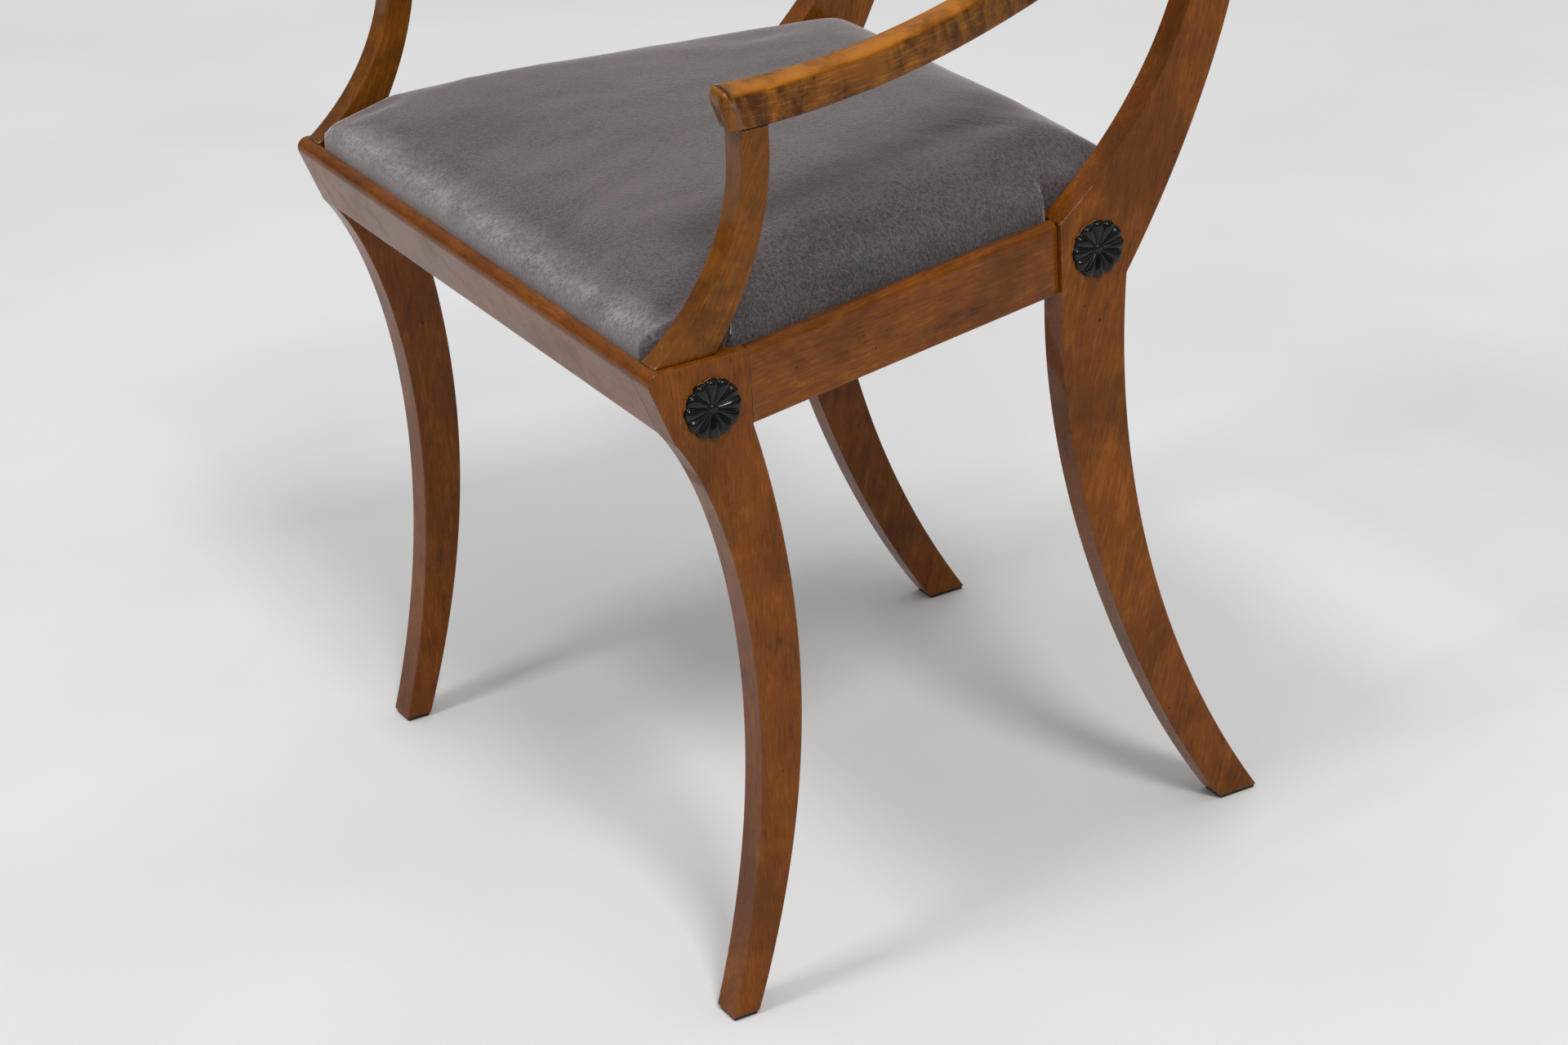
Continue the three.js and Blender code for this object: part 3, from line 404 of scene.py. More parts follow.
def store_value(made: bpy.types.Object, name: str, values: Iterable[float]) -> None:
    """Writes one number for each of a mesh's points."""
    layer = made.data.attributes.new(name, "FLOAT", "POINT")
    layer.data.foreach_set("value", list(values))


# Shader building


@dataclass(frozen=True)
class Pattern:
    """A noise pattern: how fine, how deep and how rough it is, how it swirls and how it is drawn out."""

    scale: float
    detail: float = 2.0
    roughness: float = 0.5
    warp: float = 0.0
    stretch: tuple[float, float, float] | None = None


class Tree:
    """Adds nodes to one node tree and gives back their output sockets."""

    # Places of a colour Mix node's two colours and of its result
    MIX_FIRST, MIX_SECOND, MIX_RESULT = 6, 7, 2

    def __init__(self, tree: bpy.types.NodeTree) -> None:
        """Keeps the tree that the nodes go into."""
        self.tree = tree

    def node(self, kind: str, **settings: object) -> bpy.types.Node:
        """Adds a node.

        Args:
            kind: Blender's name of the node.
            settings: Its properties.

        Returns:
            The node.
        """
        made = self.tree.nodes.new(kind)
        for name, value in settings.items():
            setattr(made, name, value)
        return made

    def feed(self, socket: bpy.types.NodeSocket, value: object) -> None:
        """Links a socket to an output, or sets its value.

        Args:
            socket: The input socket.
            value: An output socket, or a plain value.
        """
        if isinstance(value, bpy.types.NodeSocket):
            self.tree.links.new(value, socket)
        else:
            socket.default_value = value

    def math(self, kind: str, a: object, b: object = 0.0) -> bpy.types.NodeSocket:
        """Adds a Math node.

        Args:
            kind: Its operation.
            a: First value or socket.
            b: Second value or socket.

        Returns:
            The result.
        """
        made = self.node("ShaderNodeMath", operation=kind)
        self.feed(made.inputs[0], a)
        self.feed(made.inputs[1], b)
        return made.outputs[0]

    def total(self, *parts: tuple[bpy.types.NodeSocket, float]) -> bpy.types.NodeSocket:
        """Adds values up, each by its share.

        Args:
            parts: Each value with its share.

        Returns:
            The sum.
        """
        made = self.math("MULTIPLY", *parts[0])
        for value, share in parts[1:]:
            made = self.math("ADD", made, self.math("MULTIPLY", value, share))
        return made

    def mix(self, share: object, a: object, b: object) -> bpy.types.NodeSocket:
        """Adds a colour Mix node.

        Args:
            share: Share of the second colour.
            a: First colour.
            b: Second colour.

        Returns:
            The mixed colour.
        """
        made = self.node("ShaderNodeMix", data_type="RGBA", blend_type="MIX")
        self.feed(made.inputs[0], share)
        self.feed(made.inputs[self.MIX_FIRST], a)
        self.feed(made.inputs[self.MIX_SECOND], b)
        return made.outputs[self.MIX_RESULT]

    def stretch(self, vector: bpy.types.NodeSocket, scale: Sequence[float]) -> bpy.types.NodeSocket:
        """Multiplies a vector by one factor for each axis.

        Args:
            vector: The vector.
            scale: The factors.

        Returns:
            The stretched vector.
        """
        made = self.node("ShaderNodeVectorMath", operation="MULTIPLY")
        self.feed(made.inputs[0], vector)
        self.feed(made.inputs[1], scale)
        return made.outputs[0]

    def noise(
        self, vector: bpy.types.NodeSocket, pattern: Pattern, scale: bpy.types.NodeSocket | None = None
    ) -> bpy.types.NodeSocket:
        """Adds a Noise Texture.

        Args:
            vector: Place of each point.
            pattern: The pattern that it makes.
            scale: A socket that takes the place of the pattern's own scale.

        Returns:
            Its grey value.
        """
        if pattern.stretch:
            vector = self.stretch(vector, pattern.stretch)
        made = self.node("ShaderNodeTexNoise")
        self.feed(made.inputs["Vector"], vector)
        self.feed(made.inputs["Scale"], pattern.scale if scale is None else scale)
        made.inputs["Detail"].default_value = pattern.detail
        made.inputs["Roughness"].default_value = pattern.roughness
        made.inputs["Distortion"].default_value = pattern.warp
        return made.outputs[0]

    def remap(
        self, value: object, low: float, high: float, to_low: float = 0.0, to_high: float = 1.0
    ) -> bpy.types.NodeSocket:
        """Maps a range of values to another, smoothly and clamped.

        Args:
            value: The value or socket.
            low: Start of its range.
            high: End of its range, which may be below the start.
            to_low: Result at the start.
            to_high: Result at the end.

        Returns:
            The mapped value.
        """
        made = self.node("ShaderNodeMapRange", interpolation_type="SMOOTHSTEP")
        self.feed(made.inputs["Value"], value)
        made.inputs["From Min"].default_value = low
        made.inputs["From Max"].default_value = high
        made.inputs["To Min"].default_value = to_low
        made.inputs["To Max"].default_value = to_high
        return made.outputs["Result"]

    def bump(self, height: bpy.types.NodeSocket, distance: float, strength: float) -> bpy.types.NodeSocket:
        """Adds a Bump node.

        Args:
            height: Height in shares of the distance.
            distance: The distance.
            strength: Strength of the effect.

        Returns:
            The normal.
        """
        made = self.node("ShaderNodeBump")
        made.inputs["Strength"].default_value = strength
        made.inputs["Distance"].default_value = distance
        self.feed(made.inputs["Height"], height)
        return made.outputs[0]


@dataclass(frozen=True)
class Port:
    """One named socket of a node group."""

    name: str
    kind: str = "NodeSocketFloat"
    value: object = None


class ShaderGroup:
    """A node group with named inputs and outputs, built once and placed in each material that needs it."""

    name: str = "group"
    takes: tuple[Port, ...] = ()
    gives: tuple[Port, ...] = ()

    def build(self, tree: Tree, source: bpy.types.Node) -> dict[str, bpy.types.NodeSocket]:
        """Makes the group's nodes.

        Args:
            tree: The group's tree.
            source: Its input node.

        Returns:
            An output socket for each name in gives.
        """
        raise NotImplementedError

    def group(self) -> bpy.types.NodeTree:
        """Gives the node group, and builds it the first time.

        Returns:
            The group's tree.
        """
        found = bpy.data.node_groups.get(self.name)
        if found:
            return found
        made = bpy.data.node_groups.new(self.name, "ShaderNodeTree")
        for port in self.takes:
            socket = made.interface.new_socket(port.name, in_out="INPUT", socket_type=port.kind)
            if port.value is not None:
                socket.default_value = port.value
        for port in self.gives:
            made.interface.new_socket(port.name, in_out="OUTPUT", socket_type=port.kind)
        tree = Tree(made)
        source = tree.node("NodeGroupInput")
        target = tree.node("NodeGroupOutput")
        for name, socket in self.build(tree, source).items():
            tree.feed(target.inputs[name], socket)
        return made

    def place(self, tree: Tree, **values: object) -> bpy.types.Node:
        """Adds the group to a material.

        Args:
            tree: The material's tree.
            values: A value or output socket for each input, with _ for each space in its name.

        Returns:
            The group's node.
        """
        made = tree.node("ShaderNodeGroup", node_tree=self.group())
        for name, value in values.items():
            tree.feed(made.inputs[name.replace("_", " ")], value)
        return made


class WoodGrain(ShaderGroup):
    """Streaks, fibres, flecks, cross figure and stain blotches of close-grained wood."""

    name = "wood_grain"
    takes = (
        Port("Place", "NodeSocketVector"),
        Port("Light Wood", "NodeSocketColor"),
        Port("Middle Wood", "NodeSocketColor"),
        Port("Dark Wood", "NodeSocketColor"),
        Port("Figure", value=0.2),
        Port("Figure Scale", value=40.0),
        Port("Stain", value=0.5),
        Port("Flecks", value=0.5),
    )
    gives = (Port("Colour", "NodeSocketColor"), Port("Fibres"), Port("Height"))
    streaks = Pattern(150.0, 5.0, 0.62, 0.35, (1, 1, 0.06))
    fibres = Pattern(780.0, 4.0, 0.7, stretch=(1, 1, 0.1))
    mottle = Pattern(46.0, 5.0, 0.62, 0.8, (1, 1, 0.55))
    bands = Pattern(40.0, 6.0, 0.68, 0.9, (0.45, 0.45, 1))
    clouds = Pattern(19.0, 3.0, 0.5, 0.5)
    blotches = Pattern(13.0, 4.0, 0.6, 0.6)
    flecks = Pattern(1250.0, 2.0, 0.6, stretch=(1, 1, 0.14))
    crowds = Pattern(70.0)

    def build(self, tree: Tree, source: bpy.types.Node) -> dict[str, bpy.types.NodeSocket]:
        """Makes the group's nodes.

        Args:
            tree: The group's tree.
            source: Its input node.

        Returns:
            An output socket for each name in gives.
        """
        place = source.outputs["Place"]
        light, middle, dark = (source.outputs[f"{word} Wood"] for word in ("Light", "Middle", "Dark"))
        streaks = tree.noise(place, self.streaks)
        fibres = tree.noise(place, self.fibres)
        mottle = tree.noise(place, self.mottle)
        tone = tree.total((streaks, 0.2), (fibres, 0.46), (mottle, 0.34))
        colour = tree.mix(tree.remap(tone, 0.33, 0.49), dark, middle)
        colour = tree.mix(tree.remap(tone, 0.48, 0.68), colour, light)
        bands = tree.noise(place, self.bands, source.outputs["Figure Scale"])
        bands = tree.remap(bands, 0.34, 0.62)
        bands = tree.math("MAXIMUM", bands, tree.remap(tree.noise(place, self.clouds), 0.47, 0.66))
        glow = tree.math("MULTIPLY", tree.math("MULTIPLY", bands, source.outputs["Figure"]), 0.6)
        colour = tree.mix(glow, colour, light)
        shade = tree.math("MULTIPLY", tree.math("SUBTRACT", 1.0, bands), source.outputs["Figure"])
        colour = tree.mix(shade, colour, dark)
        blotches = tree.remap(tree.noise(place, self.blotches), 0.42, 0.66)
        colour = tree.mix(tree.math("MULTIPLY", blotches, source.outputs["Stain"]), colour, dark)
        flecks = tree.remap(tree.noise(place, self.flecks), 0.6, 0.7)
        crowds = tree.remap(tree.noise(place, self.crowds), 0.4, 0.6)
        flecks = tree.math("MULTIPLY", tree.math("MULTIPLY", flecks, crowds), source.outputs["Flecks"])
        colour = tree.mix(flecks, colour, dark)
        height = tree.math("SUBTRACT", tree.math("MULTIPLY", fibres, 0.6), flecks)
        return {"Colour": colour, "Fibres": fibres, "Height": height}


class EdgeWearHighlight(ShaderGroup):
    """Finds the edges of a piece, and patches along them that stand for wear and for a painted highlight on
    the arris.
    """

    name = "edge_wear_highlight"
    takes = (Port("Place", "NodeSocketVector"),)
    gives = (Port("Edge"), Port("Lightened"))
    radius = 2.2 * MM
    breaks = Pattern(150.0, 4.0, 0.65)

    def build(self, tree: Tree, source: bpy.types.Node) -> dict[str, bpy.types.NodeSocket]:
        """Makes the group's nodes.

        Args:
            tree: The group's tree.
            source: Its input node.

        Returns:
            An output socket for each name in gives.
        """
        bevel = tree.node("ShaderNodeBevel", samples=4)
        bevel.inputs["Radius"].default_value = self.radius
        geometry = tree.node("ShaderNodeNewGeometry")
        across = tree.node("ShaderNodeVectorMath", operation="DOT_PRODUCT")
        tree.feed(across.inputs[0], bevel.outputs[0])
        tree.feed(across.inputs[1], geometry.outputs["True Normal"])
        edge = tree.remap(across.outputs["Value"], 0.99, 0.8)
        # Broken patches of the edges: wear, with a painted highlight.
        patches = tree.remap(tree.noise(source.outputs["Place"], self.breaks), 0.5, 0.62)
        return {"Edge": edge, "Lightened": tree.math("MULTIPLY", edge, patches)}


class PaintedTopLight(ShaderGroup):
    """Finds faces that look upward, where the colour is lightened in patches as painted top light."""

    name = "painted_top_light"
    takes = (Port("Place", "NodeSocketVector"),)
    gives = (Port("Lightened"),)
    patches = Pattern(30.0, 4.0, 0.6)

    def build(self, tree: Tree, source: bpy.types.Node) -> dict[str, bpy.types.NodeSocket]:
        """Makes the group's nodes.

        Args:
            tree: The group's tree.
            source: Its input node.

        Returns:
            An output socket for each name in gives.
        """
        axes = tree.node("ShaderNodeSeparateXYZ")
        tree.feed(axes.inputs[0], tree.node("ShaderNodeNewGeometry").outputs["Normal"])
        # Upward faces carry the painted top light, broken into patches.
        upward = tree.remap(axes.outputs[2], 0.1, 0.8)
        patches = tree.remap(tree.noise(source.outputs["Place"], self.patches), 0.34, 0.6, 0.25, 1.0)
        return {"Lightened": tree.math("MULTIPLY", upward, patches)}


class Scuffs(ShaderGroup):
    """Small dents, nicks and dark specks scattered over a polished surface."""

    name = "scuffs"
    takes = (Port("Place", "NodeSocketVector"), Port("Amount", value=0.5))
    gives = (Port("Specks"), Port("Haze"))
    speck_scale = 55.0
    swirl_scale = 300.0
    swirl = (0.004, 0.004, 0.004)
    haze = Pattern(38.0, 5.0, 0.7)

    def build(self, tree: Tree, source: bpy.types.Node) -> dict[str, bpy.types.NodeSocket]:
        """Makes the group's nodes.

        Args:
            tree: The group's tree.
            source: Its input node.

        Returns:
            An output socket for each name in gives.
        """
        place = source.outputs["Place"]
        cells = tree.node("ShaderNodeTexVoronoi", feature="F1")
        warped = tree.node("ShaderNodeVectorMath", operation="ADD")
        swirls = tree.node("ShaderNodeTexNoise")
        tree.feed(swirls.inputs["Vector"], place)
        swirls.inputs["Scale"].default_value = self.swirl_scale
        tree.feed(warped.inputs[0], place)
        tree.feed(warped.inputs[1], tree.stretch(swirls.outputs["Color"], self.swirl))
        tree.feed(cells.inputs["Vector"], warped.outputs[0])
        cells.inputs["Scale"].default_value = self.speck_scale
        specks = tree.remap(cells.outputs["Distance"], 0.075, 0.03)
        specks = tree.math("MULTIPLY", specks, source.outputs["Amount"])
        haze = tree.remap(tree.noise(place, self.haze), 0.42, 0.68)
        return {"Specks": specks, "Haze": haze}


class Weave(ShaderGroup):
    """Over and under threads of a plain woven cloth."""

    name = "weave"
    takes = (Port("Place", "NodeSocketVector"), Port("Threads", value=700.0))
    gives = (Port("Height"), Port("Fuzz"))
    fuzz = Pattern(900.0, 3.0, 0.7)

    def build(self, tree: Tree, source: bpy.types.Node) -> dict[str, bpy.types.NodeSocket]:
        """Makes the group's nodes.

        Args:
            tree: The group's tree.
            source: Its input node.

        Returns:
            An output socket for each name in gives.
        """
        scaled = tree.node("ShaderNodeVectorMath", operation="SCALE")
        tree.feed(scaled.inputs[0], source.outputs["Place"])
        tree.feed(scaled.inputs["Scale"], source.outputs["Threads"])
        axes = tree.node("ShaderNodeSeparateXYZ")
        tree.feed(axes.inputs[0], scaled.outputs[0])
        warp = tree.math("SINE", tree.math("MULTIPLY", axes.outputs[0], math.pi))
        weft = tree.math("SINE", tree.math("MULTIPLY", axes.outputs[1], math.pi))
        height = tree.math("ABSOLUTE", tree.math("MULTIPLY", warp, weft))
        fuzz = tree.noise(source.outputs["Place"], self.fuzz)
        return {"Height": tree.math("ADD", height, tree.math("MULTIPLY", fuzz, 0.4)), "Fuzz": fuzz}


# Finishes


def attribute(tree: Tree, name: str, output: str = "Vector") -> bpy.types.NodeSocket:
    """Reads a value stored on a mesh's points."""
    return tree.node("ShaderNodeAttribute", attribute_name=name).outputs[output]


def object_place(tree: Tree) -> bpy.types.NodeSocket:
    """Reads the place of each point in the piece's own frame."""
    return tree.node("ShaderNodeTexCoord").outputs["Object"]


MADE: dict[str, bpy.types.Material] = {}  # the materials built so far, by the finish's name


@dataclass(frozen=True)
class Finish:
    """A finish: a material of one Principled shader, with its even values on the shader's own sockets."""

    name: str = "finish"
    even: tuple[tuple[str, object], ...] = ()

    def dress(self, tree: Tree, shader: bpy.types.Node) -> None:
        """Adds what varies over the surface.

        Args:
            tree: The material's tree.
            shader: Its Principled shader.
        """
        raise NotImplementedError

    def material(self) -> bpy.types.Material:
        """Gives the material, and builds it the first time.

        Returns:
            The material.
        """
        if self.name in MADE:
            return MADE[self.name]
        made = bpy.data.materials.new(self.name)
        made.use_nodes = True
        made.node_tree.nodes.clear()
        tree = Tree(made.node_tree)
        shader = tree.node("ShaderNodeBsdfPrincipled")
        target = tree.node("ShaderNodeOutputMaterial")
        tree.feed(target.inputs["Surface"], shader.outputs[0])
        for name, value in self.even:
            shader.inputs[name].default_value = value
        self.dress(tree, shader)
        MADE[self.name] = made
        return made

    def put_on(self, *pieces: bpy.types.Object) -> None:
        """Gives this finish to whole pieces.

        Args:
            pieces: The pieces.
        """
        for made in pieces:
            made.data.materials.clear()
            made.data.materials.append(self.material())


@dataclass(frozen=True)
class StainedWood(Finish):
    """Stained wood under old shellac polish."""

    light: tuple[float, ...] = (0.32, 0.101, 0.0105, 1)
    middle: tuple[float, ...] = (0.18, 0.049, 0.004, 1)
    dark: tuple[float, ...] = (0.055, 0.0165, 0.0026, 1)
    figure: float = 0.1
    figure_scale: float = 48.0
    stain: float = 0.45
    flecks: float = 0.6
    # Painted top light: lightening of faces that look upward.
    top_light: float = 0.0
    polish: float = 0.29
    edge_polish: float = 1.0
    edge_stain: float = 0.42
    # Lightening of the broken edges: worn pale, and a painted highlight of the arris.
    edge_rub_highlight: float = 0.5
    scuffing: float = 0.8
    speck: tuple[float, ...] = (0.012, 0.005, 0.003, 1)
    even: tuple[tuple[str, object], ...] = (
        ("IOR", 1.42),
        ("Specular IOR Level", 0.07),
        ("Coat Roughness", 0.05),
        ("Coat IOR", 1.42),
    )

    def dress(self, tree: Tree, shader: bpy.types.Node) -> None:
        """Adds grain, worn edges lightened as a painted highlight, painted top light where it is set, and
        scuffs.

        Args:
            tree: The material's tree.
            shader: Its Principled shader.
        """
        place = attribute(tree, "grain")
        wood = WoodGrain().place(
            tree, Place=place, Light_Wood=self.light, Middle_Wood=self.middle, Dark_Wood=self.dark,
            Figure=self.figure, Figure_Scale=self.figure_scale, Stain=self.stain, Flecks=self.flecks,
        )
        edge_masks = EdgeWearHighlight().place(tree, Place=place)
        scuffs = Scuffs().place(tree, Place=place, Amount=self.scuffing)
        stained = tree.math("MULTIPLY", edge_masks.outputs["Edge"], self.edge_stain)
        colour = tree.mix(stained, wood.outputs["Colour"], self.dark)
        # Broken edges go lighter: wear and a painted highlight.
        colour = tree.mix(tree.math("MULTIPLY", edge_masks.outputs["Lightened"], self.edge_rub_highlight), colour, self.light)
        # Painted top light on upward faces, in patches.
        if self.top_light:
            top_lit = PaintedTopLight().place(tree, Place=place)
            lightened = tree.math("MULTIPLY", top_lit.outputs["Lightened"], self.top_light)
            colour = tree.mix(lightened, colour, self.light)
        colour = tree.mix(scuffs.outputs["Specks"], colour, self.speck)
        tree.feed(shader.inputs["Base Color"], colour)
        coat = tree.remap(edge_masks.outputs["Edge"], 0.0, 0.5, self.polish, self.edge_polish)
        tree.feed(shader.inputs["Coat Weight"], coat)
        rough = tree.math("ADD", tree.math("MULTIPLY", wood.outputs["Fibres"], 0.16), 0.16)
        rough = tree.math("ADD", rough, tree.math("MULTIPLY", scuffs.outputs["Haze"], 0.12))
        tree.feed(shader.inputs["Roughness"], rough)
        dents = tree.math("MULTIPLY", scuffs.outputs["Specks"], 1.5)
        height = tree.math("SUBTRACT", wood.outputs["Height"], dents)
        tree.feed(shader.inputs["Normal"], tree.bump(height, 0.06 * MM, 0.7))


@dataclass(frozen=True)
class BareWood(Finish):
    """Planed softwood with no polish, as used where nothing shows."""

    name: str = "planed_softwood"
    light: tuple[float, ...] = (0.6, 0.4, 0.2, 1)
    middle: tuple[float, ...] = (0.48, 0.3, 0.14, 1)
    dark: tuple[float, ...] = (0.3, 0.17, 0.075, 1)
    even: tuple[tuple[str, object], ...] = (("IOR", 1.45), ("Specular IOR Level", 0.3))

    def dress(self, tree: Tree, shader: bpy.types.Node) -> None:
        """Adds a plain grain that needs no stored place.

        Args:
            tree: The material's tree.
            shader: Its Principled shader.
        """
        place = tree.stretch(object_place(tree), (0.3, 1, 1))
        wood = WoodGrain().place(
            tree, Place=place, Light_Wood=self.light, Middle_Wood=self.middle, Dark_Wood=self.dark,
            Figure=0.1, Figure_Scale=20.0, Stain=0.3, Flecks=0.3,
        )
        tree.feed(shader.inputs["Base Color"], wood.outputs["Colour"])
        tree.feed(shader.inputs["Roughness"], tree.remap(wood.outputs["Fibres"], 0.3, 0.7, 0.55, 0.8))
        tree.feed(shader.inputs["Normal"], tree.bump(wood.outputs["Height"], 0.15 * MM, 0.7))


@dataclass(frozen=True)
class Ebonised(Finish):
    """Carved wood under glossy black polish, pale at its rim: rubbed bare, and a painted highlight of the
    rim's edge.
    """

    name: str = "ebonised_polish"
    black: tuple[float, ...] = (0.003, 0.003, 0.003, 1)
    greyed: tuple[float, ...] = (0.011, 0.0105, 0.01, 1)
    # Pale wood of the rim: bare wood and a painted highlight.
    bare_highlight: tuple[float, ...] = (0.42, 0.27, 0.1, 1)
    grain: Pattern = Pattern(900.0, 3.0, 0.6, stretch=(1, 1, 0.2))
    mottle: Pattern = Pattern(220.0, 4.0, 0.65)
    even: tuple[tuple[str, object], ...] = (
        ("IOR", 1.12),
        ("Coat Weight", 0.6),
        ("Coat Roughness", 0.1),
        ("Coat IOR", 1.45),
    )

    def dress(self, tree: Tree, shader: bpy.types.Node) -> None:
        """Adds the pale rim, bare wood with a painted highlight, and a fine grain under the polish.

        Args:
            tree: The material's tree.
            shader: Its Principled shader.
        """
        place = object_place(tree)
        grain = tree.noise(place, self.grain)
        mottle = tree.noise(place, self.mottle)
        colour = tree.mix(tree.remap(mottle, 0.4, 0.75), self.black, self.greyed)
        # Pale rim: bare wood, and a painted highlight of its edge.
        lightened = tree.math("MULTIPLY", attribute(tree, "rim", "Fac"), tree.remap(mottle, 0.42, 0.5))
        colour = tree.mix(lightened, colour, self.bare_highlight)
        tree.feed(shader.inputs["Base Color"], colour)
        tree.feed(shader.inputs["Roughness"], tree.remap(mottle, 0.3, 0.75, 0.16, 0.36))
        height = tree.math("ADD", tree.math("MULTIPLY", grain, 0.5), mottle)
        tree.feed(shader.inputs["Normal"], tree.bump(height, 0.12 * MM, 0.6))


@dataclass(frozen=True)
class Velvet(Finish):
    """Short, dense mohair pile, lighter along the seat's edges: brushed pile, with painted sheen."""

    name: str = "mohair_velvet"
    pile: tuple[float, ...] = (0.01, 0.007, 0.0073, 1)
    turned: tuple[float, ...] = (0.08, 0.062, 0.063, 1)
    # Lighter rim colour: brushed pile with painted sheen.
    brushed_sheen: tuple[float, ...] = (0.5, 0.465, 0.485, 1)
    tips: Pattern = Pattern(950.0, 2.0, 0.7)
    tufts: Pattern = Pattern(430.0, 3.0, 0.7, stretch=(0.8, 1, 1))
    strokes: Pattern = Pattern(38.0, 4.0, 0.65, 0.4, (1, 0.4, 1))
    wide: Pattern = Pattern(7.0, 2.0, 0.5)
    patches: Pattern = Pattern(420.0, 4.0, 0.7, stretch=(1, 0.8, 0.8))
    clumps: Pattern = Pattern(36.0, 5.0, 0.65)
    even: tuple[tuple[str, object], ...] = (
        ("Specular IOR Level", 0.08),
        ("Sheen Weight", 1.0),
        ("Sheen Roughness", 0.48),
        ("Sheen Tint", (0.9, 0.81, 0.825, 1)),
    )

    def dress(self, tree: Tree, shader: bpy.types.Node) -> None:
        """Adds pile, and lighter patches along the edges: brushed pile with painted sheen.

        Args:
            tree: The material's tree.
            shader: Its Principled shader.
        """
        place = object_place(tree)
        tips = tree.noise(place, self.tips)
        tufts = tree.noise(place, self.tufts)
        strokes = tree.noise(place, self.strokes)
        wide = tree.noise(place, self.wide)
        tone = tree.total((tips, 0.34), (tufts, 0.36), (strokes, 0.14), (wide, 0.16))
        tone = tree.remap(tone, 0.42, 0.58)
        patches = tree.remap(tree.noise(place, self.patches), 0.3, 0.68, 0.2, 1.0)
        clumps = tree.remap(tree.noise(place, self.clumps), 0.36, 0.62, 0.42, 1.0)
        # Lighter along the rim in patches: brushed pile and painted sheen.
        lightened = tree.math("MULTIPLY", attribute(tree, "rim", "Fac"), tree.math("MULTIPLY", patches, clumps))
        colour = tree.mix(tone, self.pile, self.turned)
        colour = tree.mix(lightened, colour, self.brushed_sheen)
        tree.feed(shader.inputs["Base Color"], colour)
        tree.feed(shader.inputs["Roughness"], tree.remap(tips, 0.3, 0.7, 0.78, 0.98))
        height = tree.math("ADD", tips, tree.math("MULTIPLY", tufts, 0.5))
        tree.feed(shader.inputs["Normal"], tree.bump(height, 0.6 * MM, 0.8))


@dataclass(frozen=True)
class Cloth(Finish):
    """Plain woven cloth."""

    name: str = "cloth"
    thread: tuple[float, ...] = (0.6, 0.52, 0.38, 1)
    gap: tuple[float, ...] = (0.35, 0.28, 0.18, 1)
    threads: float = 700.0
    stains: Pattern = Pattern(22.0, 4.0, 0.6)
    even: tuple[tuple[str, object], ...] = (("Specular IOR Level", 0.2), ("Sheen Weight", 0.15))

    def dress(self, tree: Tree, shader: bpy.types.Node) -> None:
        """Adds the weave and its fuzz.

        Args:
            tree: The material's tree.
            shader: Its Principled shader.
        """
        place = object_place(tree)
        weave = Weave().place(tree, Place=place, Threads=self.threads)
        stains = tree.remap(tree.noise(place, self.stains), 0.35, 0.7)
        colour = tree.mix(tree.remap(weave.outputs["Height"], 0.1, 0.8), self.gap, self.thread)
        colour = tree.mix(tree.math("MULTIPLY", stains, 0.3), colour, self.gap)
        tree.feed(shader.inputs["Base Color"], colour)
        tree.feed(shader.inputs["Roughness"], tree.remap(weave.outputs["Fuzz"], 0.3, 0.7, 0.8, 0.98))
        tree.feed(shader.inputs["Normal"], tree.bump(weave.outputs["Height"], 0.3 * MM, 0.8))


@dataclass(frozen=True)
class WornLeather(Finish):
    """Dark leather of the glides."""

    name: str = "glide_leather"
    dark: tuple[float, ...] = (0.012, 0.008, 0.006, 1)
    worn: tuple[float, ...] = (0.05, 0.033, 0.022, 1)
    creases: Pattern = Pattern(420.0, 4.0, 0.65, 0.5)
    even: tuple[tuple[str, object], ...] = (("Specular IOR Level", 0.35),)

    def dress(self, tree: Tree, shader: bpy.types.Node) -> None:
        """Adds creases and scuffs.

        Args:
            tree: The material's tree.
            shader: Its Principled shader.
        """
        place = object_place(tree)
        creases = tree.noise(place, self.creases)
        colour = tree.mix(tree.remap(creases, 0.4, 0.7), self.dark, self.worn)
        tree.feed(shader.inputs["Base Color"], colour)
        tree.feed(shader.inputs["Roughness"], tree.remap(creases, 0.3, 0.7, 0.55, 0.8))
        tree.feed(shader.inputs["Normal"], tree.bump(creases, 0.2 * MM, 0.6))


@dataclass(frozen=True)
class PlainSteel(Finish):
    """Turned steel of the wood screws."""

    name: str = "screw_steel"
    bright: tuple[float, ...] = (0.5, 0.5, 0.52, 1)
    dull: tuple[float, ...] = (0.28, 0.24, 0.2, 1)
    tarnish: Pattern = Pattern(500.0, 4.0, 0.6)
    even: tuple[tuple[str, object], ...] = (("Metallic", 1.0),)

    def dress(self, tree: Tree, shader: bpy.types.Node) -> None:
        """Adds tarnish and turning marks.

        Args:
            tree: The material's tree.
            shader: Its Principled shader.
        """
        place = object_place(tree)
        tarnish = tree.noise(place, self.tarnish)
        colour = tree.mix(tree.remap(tarnish, 0.4, 0.7), self.bright, self.dull)
        tree.feed(shader.inputs["Base Color"], colour)
        tree.feed(shader.inputs["Roughness"], tree.remap(tarnish, 0.3, 0.7, 0.3, 0.6))
        tree.feed(shader.inputs["Normal"], tree.bump(tarnish, 0.05 * MM, 0.5))


